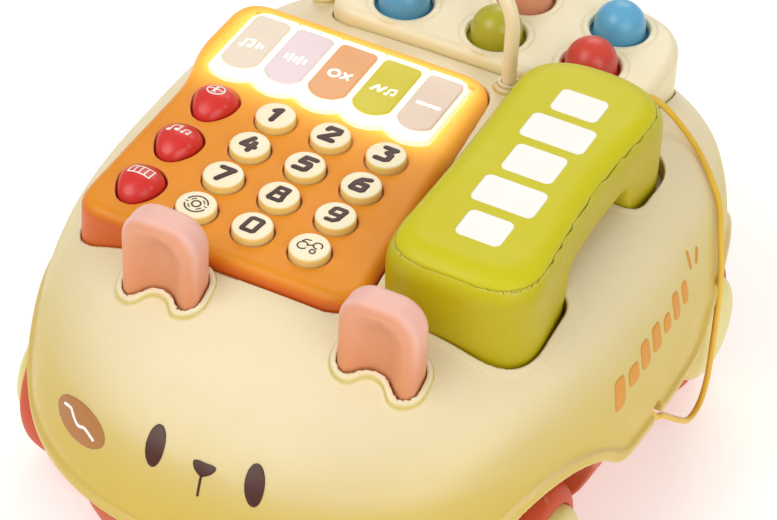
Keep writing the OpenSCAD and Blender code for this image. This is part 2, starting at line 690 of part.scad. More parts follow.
// Coil spring: a round wire swept along a helix
module coil(radius, wire_r, bottom, top, turns, turn_steps = 14, sides = 6) {
  steps = floor(turns * turn_steps);
  wire_solid([for (i = [0:steps])
    let (t = 360 * i / turn_steps,
         z = bottom + wire_r + (top - bottom - 2 * wire_r) * i / steps)
    [for (j = [0:sides - 1])
      let (u = 360 * j / sides, reach = radius + wire_r * cos(u))
      [reach * cos(t), reach * sin(t), z + wire_r * sin(u)]]]);
}
module ball_spring(i) color(steel) translate(concat(ball_place(i), 0))
  coil(radius = 6, wire_r = 0.5, bottom = 88, top = 112.8, turns = 5.5);

// --- wheels ---------------------------------------------------------------
// Profiles are [radius, distance from the centre plane]
hub_r = 6.5;
hub_face_x = 91;           // face of the wheel behind the hub cap
axle_half_l = 93.5;
wheel_profile = [[axle_r, 61], [hub_r, 61], [hub_r, 85.5], [25.6, 85.5], [26.6, 80],
  [27.2, 59], [28.4, 58], [29.4, 58.6], [wheel_r, 62], [29.8, 70], [29.2, 79],
  [28.2, 86], [26.6, 90.4], [24.2, 93], [21.6, tyre_x], [cap_r + gap, tyre_x],
  [cap_r + gap, hub_face_x], [axle_r, hub_face_x]];
cap_profile = [[0, 98.6], [9, 98.2], [14.4, 96.6], [17.3, 94], [17.3, hub_face_x],
  [cap_r, hub_face_x], [cap_r, 94.6], [19, 96.8], [16.6, 99], [12.4, 100.6],
  [7, 101.4], [0, 101.6]];
// Profile turned about the axle at y; side is -1 for left, 1 for right
module turned(profile, side, y) translate([0, y, axle_z]) rotate([0, 90 * side, 0])
  rotate_extrude($fn = 96) polygon(profile);
module wheel(side, y) color([0.85, 0.36, 0.16]) turned(wheel_profile, side, y);
module hub_caps(y) color([0.85, 0.8, 0.5])
  for (side = [-1, 1]) turned(cap_profile, side, y);
module axle(y) color(steel) translate([-axle_half_l, y, axle_z]) rotate([0, 90, 0])
  cylinder(h = 2 * axle_half_l, r = axle_r, $fn = 48);

upper_shell();
base_tray();
ball_deck();
ball_tray();
keypad_panel();
key_mat();
main_pcb();
speaker();
batteries();
battery_door();
battery_door_screw();
power_switch();
housing_screws();
piano_key(0);  // piano_key_1
piano_key(1);  // piano_key_2
piano_key(2);  // piano_key_3
piano_key(3);  // piano_key_4
piano_key(4);  // piano_key_5
mode_button(0);  // mode_button_1
mode_button(1);  // mode_button_2
mode_button(2);  // mode_button_3
round_key(0);  // number_key_1
round_key(1);  // number_key_2
round_key(2);  // number_key_3
round_key(3);  // number_key_4
round_key(4);  // number_key_5
round_key(5);  // number_key_6
round_key(6);  // number_key_7
round_key(7);  // number_key_8
round_key(8);  // number_key_9
round_key(9);  // icon_key_left
round_key(10);  // number_key_0
round_key(11);  // icon_key_right
handset_cover();
handset_body();
handset_cord();
ear(-1);  // ear_left
ear(1);  // ear_right
pop_ball(0);  // pop_ball_1
pop_ball(1);  // pop_ball_2
pop_ball(2);  // pop_ball_3
pop_ball(3);  // pop_ball_4
pop_ball(4);  // pop_ball_5
pop_ball(5);  // pop_ball_6
ball_spring(0);  // ball_spring_1
ball_spring(1);  // ball_spring_2
ball_spring(2);  // ball_spring_3
ball_spring(3);  // ball_spring_4
ball_spring(4);  // ball_spring_5
ball_spring(5);  // ball_spring_6
axle(front_y);  // front_axle
axle(rear_y);  // rear_axle
wheel(-1, front_y);  // wheel_front_left
wheel(1, front_y);  // wheel_front_right
wheel(-1, rear_y);  // wheel_rear_left
wheel(1, rear_y);  // wheel_rear_right
hub_caps(front_y);  // hub_caps_front
hub_caps(rear_y);  // hub_caps_rear
arch_tube();
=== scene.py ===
"""A toy telephone on wheels: a rounded body with a face at the front (-Y), a keypad on the left of
its top, pop balls at the rear (+Y), and a handset on the right (+X), with an arch and a cord.
Z is up and the floor is z = 0. Shapes are signed distances in millimetres; meshes are in metres.
"""
import functools
import itertools
import json
import math

import bmesh
import bpy
import numpy as np
from mathutils import Matrix, Vector
from numpy import hypot


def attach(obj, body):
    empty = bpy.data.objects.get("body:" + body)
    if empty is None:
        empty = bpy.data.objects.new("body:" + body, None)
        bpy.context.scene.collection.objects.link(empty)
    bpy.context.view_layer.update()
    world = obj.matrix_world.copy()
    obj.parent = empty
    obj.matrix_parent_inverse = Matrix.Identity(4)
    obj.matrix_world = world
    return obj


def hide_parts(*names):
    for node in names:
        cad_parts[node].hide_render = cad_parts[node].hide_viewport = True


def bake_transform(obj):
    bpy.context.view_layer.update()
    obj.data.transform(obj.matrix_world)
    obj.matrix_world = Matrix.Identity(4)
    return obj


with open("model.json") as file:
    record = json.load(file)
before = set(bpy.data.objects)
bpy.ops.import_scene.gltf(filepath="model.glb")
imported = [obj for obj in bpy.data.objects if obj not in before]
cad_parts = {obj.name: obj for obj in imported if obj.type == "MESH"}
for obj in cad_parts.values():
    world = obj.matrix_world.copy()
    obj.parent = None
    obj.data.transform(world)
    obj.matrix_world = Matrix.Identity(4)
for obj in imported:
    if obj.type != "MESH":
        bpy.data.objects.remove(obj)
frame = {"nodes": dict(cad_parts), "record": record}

MM = 0.001
FAR_OFF = 1e3   # distance that any real part beats

# --- combining distances: negative is inside --------------------------------------


def both(*fields):
    "intersection with a sharp edge"
    return functools.reduce(np.maximum, fields)


def either(*fields):
    "union with a sharp crease"
    return functools.reduce(np.minimum, fields)


def soft_either(a, b, width):
    "union with a soft fillet"
    share = np.clip(0.5 + 0.5 * (b - a) / width, 0, 1)
    return b * (1 - share) + a * share - width * share * (1 - share)


def soft_both(a, b, width):
    return -soft_either(-a, -b, width)


def round_both(a, b, radius):
    "intersection with a true quarter-round edge"
    return either(both(a, b), -radius) + hypot(both(a + radius, 0), both(b + radius, 0))


def cut(solid, hole, radius=0):
    "take a hole out of a solid, with a rounded rim if a radius is given"
    return round_both(solid, -hole, radius) if radius else both(solid, -hole)


def smoothstep(x):
    x = np.clip(x, 0, 1)
    return x * x * (3 - 2 * x)


def box(x, y, half_x, half_y):
    return both(np.abs(x) - half_x, np.abs(y) - half_y)


def rounded_box(x, y, half_x, half_y, radius):
    u = np.abs(x) - half_x + radius
    v = np.abs(y) - half_y + radius
    return hypot(both(u, 0), both(v, 0)) + either(both(u, v), 0) - radius


# --- curves and outlines ----------------------------------------------------------


def bend(start, corner, end, steps):
    "quadratic curve that rounds off a corner"
    return [start * (1 - u) ** 2 + corner * 2 * u * (1 - u) + end * u * u
            for u in (j / steps for j in range(steps + 1))]


def rounded(corners):
    "closed outline from corners (x, y, length cut back)"
    spots = [np.array(corner[:2], float) for corner in corners]
    out = []
    for i, (spot, corner) in enumerate(zip(spots, corners)):
        before, after = spots[i - 1], spots[(i + 1) % len(spots)]
        back = corner[2]
        start = spot + (before - spot) * back / np.linalg.norm(before - spot)
        end = spot + (after - spot) * back / np.linalg.norm(after - spot)
        out += bend(start, spot, end, 10)
    return np.array(out)


def rounded_profile(corners, steps):
    "open profile from corners (radius, height, length cut back); the two ends stay sharp"
    spots = [np.array(corner[:2], float) for corner in corners]
    out = [spots[0]]
    for before, spot, after, corner in zip(spots, spots[1:], spots[2:], corners[1:]):
        back = corner[2]
        len_in, len_out = np.linalg.norm(before - spot), np.linalg.norm(after - spot)
        start = spot + (before - spot) / len_in * min(back, len_in * .49)
        end = spot + (after - spot) / len_out * min(back, len_out * .49)
        out += bend(start, spot, end, steps)
    return out + [spots[-1]]


def spline(points, steps, closed=False):
    "Catmull-Rom curve through points"
    p = np.array(points, float)
    padded = [p[-1], *p, p[0], p[1]] if closed else [p[0], *p, p[-1]]
    out = []
    for a, b, c, d in zip(padded, padded[1:], padded[2:], padded[3:]):
        for j in range(steps):
            t = j / steps
            out.append(0.5 * ((2 * b) + (c - a) * t + (2 * a - 5 * b + 4 * c - d) * t * t
                              + (3 * b - a - 3 * c + d) * t ** 3))
    return np.array(out if closed else out + [p[-1]])


def polygon_distance(points, polygon):
    square, sign = 1e9, 1.0
    for i, corner in enumerate(polygon):
        before = polygon[i - 1]
        edge = before - corner
        rel = points - corner
        along = np.clip((rel @ edge) / max(edge @ edge, 1e-12), 0, 1)
        off = rel - along[:, None] * edge
        square = either(square, (off ** 2).sum(1))
        above = points[:, 1] >= corner[1]
        below = points[:, 1] < before[1]
        left = edge[0] * rel[:, 1] > edge[1] * rel[:, 0]
        sign = np.where((above & below & left) | (~above & ~below & ~left), -sign, sign)
    return sign * np.sqrt(square)


def grid(axes):
    return np.stack(np.meshgrid(*axes, indexing="ij"), -1).reshape(-1, len(axes))


class Outline:
    "distance to a closed outline, kept as a table"

    def __init__(self, polygon, step=0.5, margin=14):
        polygon = np.array(polygon, float)
        self.low = polygon.min(0) - margin
        self.step = step
        self.size = np.ceil((polygon.max(0) + margin - self.low) / step).astype(int) + 1
        spots = grid([self.low[i] + step * np.arange(self.size[i]) for i in range(2)])
        self.table = polygon_distance(spots, polygon).reshape(self.size)

    def __call__(self, x, y):
        u = (x - self.low[0]) / self.step
        v = (y - self.low[1]) / self.step
        u_in = np.clip(u, 0, self.size[0] - 1.001)
        v_in = np.clip(v, 0, self.size[1] - 1.001)
        i, j = u_in.astype(int), v_in.astype(int)
        a, b, t = u_in - i, v_in - j, self.table
        inside = (t[i, j] * (1 - a) * (1 - b) + t[i + 1, j] * a * (1 - b)
                  + t[i, j + 1] * (1 - a) * b + t[i + 1, j + 1] * a * b)
        return inside + hypot(u - u_in, v - v_in) * self.step


LOAF_Y = 10.0   # where the front and rear halves of the body meet


class Loaf:
    """Sides of a body whose plan is a superellipse.
    Stations are (height, half width, front reach, rear reach, exponent)."""

    def __init__(self, stations):
        curve = spline(stations, 12)
        self.z, self.columns = curve[:, 0], curve[:, 1:]

    def ratio(self, x, y, z):
        "1 on the outline, and the slope of that ratio in plan"
        half, front, rear, power = [np.interp(z, self.z, column) for column in self.columns.T]
        reach = np.where(y < LOAF_Y, front + LOAF_Y, rear - LOAF_Y)
        u = np.abs(x) / half + 1e-9
        v = np.abs(y - LOAF_Y) / reach + 1e-9
        q = (u ** power + v ** power) ** (1 / power)
        return q, hypot((u / q) ** (power - 1) / half, (v / q) ** (power - 1) / reach)

    def __call__(self, x, y, z):
        z_in = either(z, self.z[-1] - 0.5)
        q, slope = self.ratio(x, y, z_in)
        rise = self.ratio(x, y, z_in + 0.4)[0] - self.ratio(x, y, z_in - 0.4)[0]
        return (q - 1) / hypot(slope, rise / 0.8) + both(z - z_in, 0) * 0.7


# --- meshing a field --------------------------------------------------------------

BLOCK = 8   # samples along each side of a block
CORNERS = list(itertools.product((0, 1), repeat=3))


def gradient(field, points, reach=0.06):
    corners = np.array([[1, -1, -1], [-1, -1, 1], [-1, 1, -1], [1, 1, 1]], float)
    total = sum(c * field(*(points + reach * c).T)[:, None] for c in corners)
    return total / (4 * reach)


def unit_gradient(field, points, reach):
    parts = np.array_split(points, max(1, len(points) // 60000))
    slope = np.concatenate([gradient(field, part, reach) for part in parts])
    return slope / both(np.linalg.norm(slope, axis=1, keepdims=True), 1e-9)


def settle(field, points, step, rounds):
    "pull points onto the surface, a limited move at a time"
    points = points.copy()
    for _ in range(rounds):
        slope = gradient(field, points)
        steep = both((slope ** 2).sum(1), 0.2)
        move = -(field(*points.T) / steep)[:, None] * slope
        length = np.linalg.norm(move, axis=1, keepdims=True)
        points += move * either(1, 0.4 * step / both(length, 1e-9))
    return points


def sample(field, low, high, step):
    "field values on a grid, exact only in blocks near the surface"
    blocks = np.ceil((high - low) / (step * BLOCK)).astype(int)
    middle = (BLOCK - 1) / 2
    centres = grid([low[a] + (np.arange(blocks[a]) * BLOCK + middle) * step for a in range(3)])
    parts = np.array_split(centres, max(1, len(centres) // 200000))
    coarse = np.concatenate([field(*part.T) for part in parts])
    values = np.empty((*blocks, BLOCK, BLOCK, BLOCK), np.float32)
    values[:] = np.where(coarse < 0, -99, 99).reshape(*blocks, 1, 1, 1)
    flat = values.reshape(-1, BLOCK ** 3)
    offsets = (grid([np.arange(BLOCK)] * 3) - middle) * step
    # 0.87 is half a cube's diagonal; 1.35 allows for fields that overstate the distance
    active = np.nonzero(np.abs(coarse) < 1.35 * 0.87 * BLOCK * step)[0]
    for part in np.array_split(active, max(1, len(active) * BLOCK ** 3 // 400000)):
        spots = (centres[part][:, None, :] + offsets[None]).reshape(-1, 3)
        flat[part] = field(*spots.T).reshape(len(part), -1)
    return values.transpose(0, 3, 1, 4, 2, 5).reshape(blocks * BLOCK)


def surface_mesh(field, low, high, step):
    "closed quad mesh of the surface field = 0, with one vertex in each cell it crosses"
    low, high = np.array(low, float), np.array(high, float)
    values = sample(field, low, high, step)
    size = np.array(values.shape)
    inside = values < 0
    count = np.zeros(size - 1, np.int8)
    for a, b, c in CORNERS:
        count += inside[a:size[0] - 1 + a, b:size[1] - 1 + b, c:size[2] - 1 + c]
    cells = np.argwhere((count > 0) & (count < 8))
    index = np.full(size - 1, -1, np.int32)
    index[tuple(cells.T)] = np.arange(len(cells))
    # each vertex is the mean of the crossings on its cell's edges
    total, crossings = np.zeros((len(cells), 3)), np.zeros(len(cells))
    at_corner = {c: values[tuple((cells + c).T)].astype(float) for c in CORNERS}
    for corner in CORNERS:
        for axis in range(3):
            if corner[axis]:
                continue
            other = tuple(1 if i == axis else corner[i] for i in range(3))
            u, v = at_corner[corner], at_corner[other]
            crossed = (u < 0) != (v < 0)
            spot = np.array(corner, float)[None] + np.zeros((len(cells), 1))
            spot[:, axis] += np.where(crossed, u / np.where(crossed, u - v, 1), 0)
            total += spot * crossed[:, None]
            crossings += crossed
    points = low + (cells + total / crossings[:, None]) * step
    faces = []
    for axis in range(3):
        first = [slice(1, size[i] - 1) for i in range(3)]
        second = list(first)
        first[axis] = slice(0, size[axis] - 1)
        second[axis] = slice(1, size[axis])
        start = inside[tuple(first)]
        edges = np.argwhere(start != inside[tuple(second)])
        if not len(edges):
            continue
        leaving = start[tuple(edges.T)]
        around = [(axis + 1) % 3, (axis + 2) % 3]
        edges[:, around] += 1
        quad = []
        for shift in ((1, 1), (0, 1), (0, 0), (1, 0)):
            cell = edges.copy()
            cell[:, around] -= shift
            quad.append(index[tuple(cell.T)])
        quad = np.stack(quad, 1)
        quad[~leaving] = quad[~leaving][:, ::-1]
        faces.append(quad)
    faces = np.vstack(faces)
    return settle(field, points, step, 3), faces[(faces >= 0).all(1)]


# --- layout: places and outlines seen from above ----------------------------------

FRONT_Y, REAR_Y, AXLE_Z = -64.0, 66.0, 30.0
AXLES = (FRONT_Y, REAR_Y)
ARCH_FEET = ((15.5, 59.6), (-68.0, 84.0))
EAR_X, EAR_Y, EAR_HALF_X, EAR_HALF_Y = 39.2, -80.0, 14, 6.5
BALLS = [((i % 3 - 1) * 36.4, 81.7 + (i // 3) * 24.3) for i in range(6)]
KEYS = [(-43.05 + (k % 3) * 21, -0.2 - (k // 3) * 17.8) for k in range(12)]
MODE_BUTTONS = [(-66.1, -2.4), (-66.1, -26.8), (-66.1, -51.6)]
PIANO = [-69.4 + 17.1 * i for i in range(5)]
# piano key: half width, its ends in y, and the radius of the round end
PIANO_HALF, PIANO_LOW_Y, PIANO_HIGH_Y, PIANO_ROUND = 8.3, 11.0, 49.9, 11.5

panel_outline = Outline(rounded([
    (-87, 57.6, 13), (-87.4, 23, 9), (-81.8, 7, 9), (-81.8, -70.6, 13), (24.6, -70.6, 13),
    (12.6, 57.6, 13)]))
deck_outline = Outline(rounded([(-61, 66.8, 13), (61, 66.8, 13), (61, 122, 28), (-61, 122, 28)]))
# blocks under the two ends of the handset
front_block = Outline(rounded([
    (28.6, -62, 14), (78.6, -62, 17), (78.6, -23.5, 8), (28.6, -23.5, 8)]))
rear_block = Outline(rounded([(28, 25, 8), (79, 25, 8), (79, 60.4, 17), (28, 60.4, 17)]))
handset_ends = Outline(rounded([(23, -63, 22), (80, -63, 22), (80.2, 61.2, 27), (23, 61.2, 27)]))
door_outline = Outline(rounded([(-34, -30, 4), (34, -30, 4), (34, 30, 4), (-34, 30, 4)]))
button_outline = Outline(spline([
    (-4.5, -6.2), (-7.5, 1.6), (-5.2, 8.2), (1.7, 9.7), (7.5, 5.0), (7.6, -2.3), (3.6, -8.6),
    (-.9, -9.4)], 12, closed=True), 0.2, 6)

# --- shell ------------------------------------------------------------------------

shell_sides = Loaf([
    (38, 103.4, 132.4, 132.4, 2.5), (44, 104.4, 133.4, 133.4, 2.5), (50, 105.2, 134, 134, 2.5),
    (57, 105.5, 134.1, 134.2, 2.5), (62, 105.3, 133.2, 134, 2.5), (68, 104.9, 131.0, 133.7, 2.5),
    (74, 104.0, 128.0, 132.7, 2.52), (79, 102.9, 124.3, 131.0, 2.58),
    (84, 101.4, 118.6, 128.2, 2.66), (89, 99.4, 111.4, 124.1, 2.78), (94, 96.6, 103.2, 118.0, 2.9),
    (98, 93.4, 96.2, 110, 3), (101.5, 89.6, 89.6, 100.6, 3), (104.5, 85.4, 83.6, 91.2, 3),
    (107, 80.6, 78.6, 81.8, 3), (109, 75.5, 74.4, 73.1, 3), (110.4, 70.0, 71.4, 65, 3),
    (111.4, 65.0, 69.2, 60, 3), (112.4, 59.0, 66.8, 55, 3), (113.4, 52.0, 64, 50, 3)])


def body(x, y, z):
    "outer surface of the body, with its slightly domed top"
    crown = z - (112.3 - 0.00035 * (x - 8) ** 2 - 0.0001 * (y - 5) ** 2)
    return soft_both(shell_sides(x, y, z), crown, 3.0)


def ear_section(x, y, sign):
    "C-shaped section of one ear, open to the front"
    across = x - EAR_X * sign
    outer = rounded_box(across, y - EAR_Y, EAR_HALF_X, EAR_HALF_Y, 5)
    hollow = hypot(across, y - EAR_Y + EAR_HALF_Y + 4.6) - 9.2
    return soft_both(outer, -hollow, 2.6)


def above_edge(y, z):
    "how far above the shell's lower edge, seen from the side"
    height = z - 50.2
    for axle in AXLES:
        height = soft_either(height, hypot(y - axle, z - AXLE_Z) - 38.0, 7)
    return height


def shell(x, y, z):
    skin = body(x, y, z)
    height = above_edge(y, z)
    # raised bead along the lower edge, then the hollow inside
    outer = skin - 1.35 * (1 - smoothstep((height - 3.3) / 1.5))
    d = cut(outer, skin + 2.7, 0.8)
    # pockets under the handset, with their walls
    pocket = either(front_block(x, y), rear_block(x, y))
    wall = round_both(pocket - 3.0, 96.0 - z, 1.5)
    d = soft_either(d, both(wall, skin + 0.2), 1.2)
    d = cut(d, both(pocket - 0.8, 98.8 - z), 1.1)
    # lips around the ears
    for sign in (-1, 1):
        ear = ear_section(x, y, sign)
        d = soft_either(d, round_both(both(ear - 2.7, 94 - z), skin - 1.6, 0.9), 1.0)
        d = cut(d, ear - 0.55, 0.35)
    # stepped collars at the feet of the arch
    for foot_x, foot_y in ARCH_FEET:
        r = hypot(x - foot_x, y - foot_y)
        floor_z = 84 - z
        d = soft_either(d, round_both(both(r - 5.3, floor_z), skin - 1.9, 0.7), 0.8)
        d = either(d, round_both(both(r - 4.1, floor_z), skin - 3.4, 0.6))
        d = cut(d, r - 2.75)
    # seats of the keypad and the ball deck
    d = cut(d, both(panel_outline(x, y) - 0.35, 90 - z), 0.7)
    d = cut(d, both(deck_outline(x, y) - 0.35, 83.6 - z), 0.7)
    # slot in the lower right edge for the cord
    d = cut(d, both(hypot(y + 4.3, both(z - 54.2, 0)) - 3.1, 98 - x), 0.6)
    return cut(d, height, 0.9)


# --- ball deck and keypad panel ---------------------------------------------------


def deck(x, y, z):
    plan = deck_outline(x, y)
    d = cut(round_both(plan, z - 114.5, 4.2), both(plan + 2.4, z - 112.0))
    r = FAR_OFF
    for ball_x, ball_y in BALLS:
        r = either(r, hypot(x - ball_x, y - ball_y))
    # a tube around each ball
    d = either(d, both(r - 13, z - 113.5, 88 - z))
    d = cut(d, both(r - 11.6, z - 112.0))
    # rounded mouth of each hole with a shallow rim
    d = soft_either(d, box(r - 12.0, z - 114.3, 1.0, 0.5), 1.0)
    d = cut(d, r - 10.4, 1.0)
    return both(d, 84.0 - z)


def piano_holes(x, y, gap):
    round_y = PIANO_LOW_Y + PIANO_ROUND
    d = FAR_OFF
    for key_x in PIANO:
        u = np.abs(x - key_x) - PIANO_HALF - gap
        v = y - PIANO_HIGH_Y - gap
        end = hypot(x - key_x, y - round_y) - PIANO_ROUND - gap
        d = either(d, both(u, v, np.where(round_y - y > 0, end, -FAR_OFF)))
    return d


def button_plan(x, y, i):
    return button_outline(x - MODE_BUTTONS[i][0], y - MODE_BUTTONS[i][1])


def panel(x, y, z):
    plan = panel_outline(x, y)
    outer = round_both(plan + 0.02 * both(z - 99, 0), z - 115.0, 4.6)
    d = cut(outer, both(plan + 2.6, z - 112.6))
    holes = piano_holes(x, y, 0.35)
    for key_x, key_y in KEYS:
        holes = either(holes, hypot(x - key_x, y - key_y) - 7.45)
    for i in range(3):
        holes = either(holes, button_plan(x, y, i) - 0.55)
    return both(cut(d, holes, 0.55), 92 - z)


# --- handset ----------------------------------------------------------------------


def handset_plan(x, y):
    "two soft ends and a gentle waist between two large circles"
    waist = either(hypot(x - 252.2, y - 1) - 175, hypot(x + 475.8, y - 1) - 500)
    return round_both(handset_ends(x, y), -waist, 8)


def cover_top(x, y):
    return 136.9 - 0.000308 * (x - 52) ** 2 - 0.00006 * y ** 2


def handset_low(x, y, z):
    plan = handset_plan(x, y)
    top = round_both(plan, z - cover_top(x, y), 11.0)
    grip = round_both(top, 118.0 - z, 3.6)
    ends = FAR_OFF
    for outline, sign, inner_y in ((front_block, 1, -22), (rear_block, -1, 24)):
        block = round_both(outline(x, y), 99.0 - z, 2.4)
        # the blocks widen towards the handle
        wide = round_both(plan + 0.4, 110 - z, 3.0)
        wide = round_both(wide, sign * (y - inner_y), 4.0)
        ends = either(ends, soft_either(both(block, z - 128), wide, 6.0))
    d = soft_either(grip, ends, 5.0)
    d = both(round_both(d, plan, 1.0), top)
    # seat of the cover
    d = cut(d, both(plan + 3.1, 130.8 - z), 0.35)
    # five holes on a circle under each end
    for ring_y in (-42.0, 44.0):
        for a in range(5):
            turn = a * 2 * math.pi / 5
            r = hypot(x - 53 - 7 * math.cos(turn), y - ring_y - 7 * math.sin(turn)) - 1.3
            d = cut(d, both(r, z - 102.5), 0.3)
    # hole for the cord in the rear end
    return cut(d, both(hypot(x - 62, z - 113) - 1.45, 48 - y), 0.3)


def handset_top(x, y, z):
    plan = handset_plan(x, y)
    top = round_both(plan, z - cover_top(x, y), 11.0)
    return both(round_both(top, plan + 2.95, 0.6), 131.0 - z)


def ear(sign):
    def field(x, y, z):
        across = x - EAR_X * sign
        front = round_both(np.abs(across) - EAR_HALF_X, z - 134.0, 10.5)
        solid = round_both(front, np.abs(y - EAR_Y) - EAR_HALF_Y, 4.2)
        # hollow, with its own rounded top
        depth = y - EAR_Y + EAR_HALF_Y + 4.6
        above = both(z - 119.5, 0)
        hollow = np.sqrt(across ** 2 + depth ** 2 + above ** 2 * 0.8) - 9.3
        return both(soft_both(solid, -hollow, 2.8), 91.2 - z)
    return field


# --- chassis tub ------------------------------------------------------------------


def tub_loaf(stations):
    "stations are (height, share of the full half width, share of the full half length)"
    return Loaf([(z, 105.5 * wide, 134.2 * long, 134.2 * long, 2.5) for z, wide, long in stations])


tub_outer = tub_loaf([
    (8, .70, .79), (13, .74, .83), (16, .77, .86), (19, .80, .9), (24, .835, .928), (30, .87, .94),
    (40, .91, .945), (50, .945, .95), (64, .95, .95), (72, .95, .95)])
tub_inner = tub_loaf([
    (8, .69, .78), (14, .72, .81), (18.6, .755, .845), (24, .80, .893), (30, .838, .908),
    (40, .88, .915), (50, .915, .92), (70, .92, .92), (84, .92, .92)])


def tub(x, y, z):
    side_x = np.abs(x)
    outer = round_both(tub_outer(x, y, z), 16.0 - z, 1.6)
    # wheel wells: round over each axle and open to the nearer end of the body
    wells = FAR_OFF
    for axle, inward in ((FRONT_Y, y - FRONT_Y), (REAR_Y, REAR_Y - y)):
        wells = either(wells, both(hypot(y - axle, z - AXLE_Z) - 35, 55 - side_x),
                       both(inward, z - 48.0, 55 - side_x))
    d = cut(outer, both(tub_inner(x, y, z), 18.6 - z))
    d = soft_either(d, both(outer + 0.3, wells - 2.4), 1.0)
    # axle bosses
    for axle in AXLES:
        d = either(d, both(hypot(y - axle, z - AXLE_Z) - 6.5, 45 - side_x, side_x - 55))
    # wall around the battery door
    door = door_outline(x, y)
    d = either(d, both(np.abs(door - 1) - 1, z - 38, 17 - z))
    # four screw posts, and one post at the door's screw
    post = hypot(side_x - 34, np.abs(y) - 112)
    door_post = hypot(x, y + 33.6)
    d = either(d, both(post - 5.4, z - 64, 17 - z, outer))
    d = either(d, both(door_post - 3.6, z - 26, 17 - z))
    d = cut(d, wells, 0.9)
    for axle in AXLES:
        d = cut(d, both(hypot(y - axle, z - AXLE_Z) - 2.95, side_x - 60))
    d = cut(d, both(post - 3.5, z - 54), 0.5)
    d = cut(d, both(post - 1.9, z - 66))
    d = cut(d, both(door, z - 19), 0.5)
    d = cut(d, both(door_post - 1.3, z - 25))
    d = cut(d, both(box(x, y + 33.6, 5, 5), z - 17.4), 0.4)
    d = cut(d, both(box(x, y - 48, 8, 3), z - 20), 0.4)
    # six small holes around a seventh
    for i in range(7):
        hole_x, hole_y = 0, 84
        if i < 6:
            hole_x, hole_y = 9 * math.cos(i * math.pi / 3), 84 + 9 * math.sin(i * math.pi / 3)
        d = cut(d, both(hypot(x - hole_x, y - hole_y) - 1.6, z - 21), 0.3)
    # shallow grooves along the floor
    d = cut(d, both(box(side_x - 46, y, 1.0, 96), z - 16.6))
    # hole for the cord in the right wall
    d = cut(d, both(hypot(y + 5.2, z - 54.6) - 1.5, 90 - x), 0.3)
    return both(d, z - 64.0)


# --- buttons and piano keys -------------------------------------------------------

PLATE_TOP = 117.25


def key_dome(k):
    key_x, key_y = KEYS[k]
    return lambda x, y: 117.85 - 0.0053 * ((x - key_x) ** 2 + (y - key_y) ** 2)


def button_dome(i):
    button_x, button_y = MODE_BUTTONS[i]
    return lambda x, y: 120.0 - 0.052 * ((x - button_x) ** 2 + (y - button_y) ** 2)


def stem(x, y, z):
    "round peg under a button or key"
    return both(hypot(x, y) - 2.6, z - 112, 107.4 - z)


def button(i):
    button_x, button_y = MODE_BUTTONS[i]
    dome = button_dome(i)

    def field(x, y, z):
        plan = button_plan(x, y, i)
        top = round_both(plan, (z - dome(x, y)) * 0.86, 1.9)
        flange = both(plan - 1.0, z - 112.4, 110.8 - z)
        return either(both(top, 110.8 - z), flange, stem(x - button_x, y - button_y, z))
    return field


def tongue(x, y, i, half, radius, low_y, high_y, corner=2.2):
    "straight sides and a round end at low_y"
    u = np.abs(x - PIANO[i]) - half
    end = hypot(x - PIANO[i], y - (low_y + radius)) - radius
    return np.where(y < low_y + radius, both(u, end), round_both(u, y - high_y, corner))


def corner_cut(x, y, i):
    "the outermost keys have a rounded outer rear corner"
    if i not in (0, 4):
        return -FAR_OFF
    sign = -1 if i == 0 else 1
    return round_both(sign * (x - PIANO[i]) - PIANO_HALF, y - PIANO_HIGH_Y, 6.5)


def piano_base(i):
    def field(x, y, z):
        across = x - PIANO[i]
        plan = tongue(x, y, i, PIANO_HALF, PIANO_ROUND, PIANO_LOW_Y, PIANO_HIGH_Y, corner=0.4)
        plan = both(plan, corner_cut(x, y, i))
        d = both(round_both(plan, z - 116.7, 0.9), 111.6 - z)
        # recess for the plate
        d = cut(d, both(tongue(x, y, i, half=7.35, radius=8.0, low_y=16.6, high_y=46.9),
                        116.25 - z))
        tabs = either(box(across, y - 12.8, 5, 4), box(across, y - 50.1, 7, 2.1))
        return either(d, both(tabs, z - 112.5, 110.6 - z), stem(across, y - 32, z))
    return field


def piano_plate(i):
    def field(x, y, z):
        plan = tongue(x, y, i, half=7.2, radius=7.9, low_y=16.8, high_y=46.7)
        plan = both(plan, corner_cut(x, y, i) + 1.9)
        return both(round_both(plan, z - PLATE_TOP, 0.5), 116.0 - z)
    return field


# --- flat marks: functions of (x, y) ----------------------------------------------


def pen(lines, radius):
    "strokes along polylines"
    def flat(x, y):
        points = np.stack([x, y], -1)
        d = FAR_OFF
        for line in lines:
            for start, end in zip(line[:-1], line[1:]):
                start, end = np.array(start, float), np.array(end, float)
                along, rel = end - start, points - start
                t = np.clip((rel @ along) / max(along @ along, 1e-12), 0, 1)
                d = either(d, np.sqrt(((rel - t[:, None] * along) ** 2).sum(1)))
        return d - radius
    return flat


def join(*flats):
    return lambda x, y: either(*(flat(x, y) for flat in flats))


def ellipse(half_x, half_y):
    return lambda x, y: (hypot(x / half_x, y / half_y) - 1) * min(half_x, half_y)


def arc(cx, cy, radius, start, end, steps=14):
    "points on an arc, with its angles in degrees"
    turns = [math.radians(start + (end - start) * i / steps) for i in range(steps + 1)]
    return [(cx + radius * math.cos(t), cy + radius * math.sin(t)) for t in turns]


def notes(cx, cy, s, radius):
    "two joined music notes of size s"
    beam = pen([[(cx - .9 * s, cy - 1.5 * s), (cx - .9 * s, cy + 1.2 * s),
                 (cx + 1.3 * s, cy + 1.7 * s), (cx + 1.3 * s, cy - 1.0 * s)]], radius)
    return lambda x, y: either(
        beam(x, y),
        hypot(x - cx + 1.35 * s, (y - cy + 1.6 * s) * 1.25) - .75 * s,
        hypot(x - cx - .85 * s, (y - cy + 1.1 * s) * 1.25) - .75 * s)


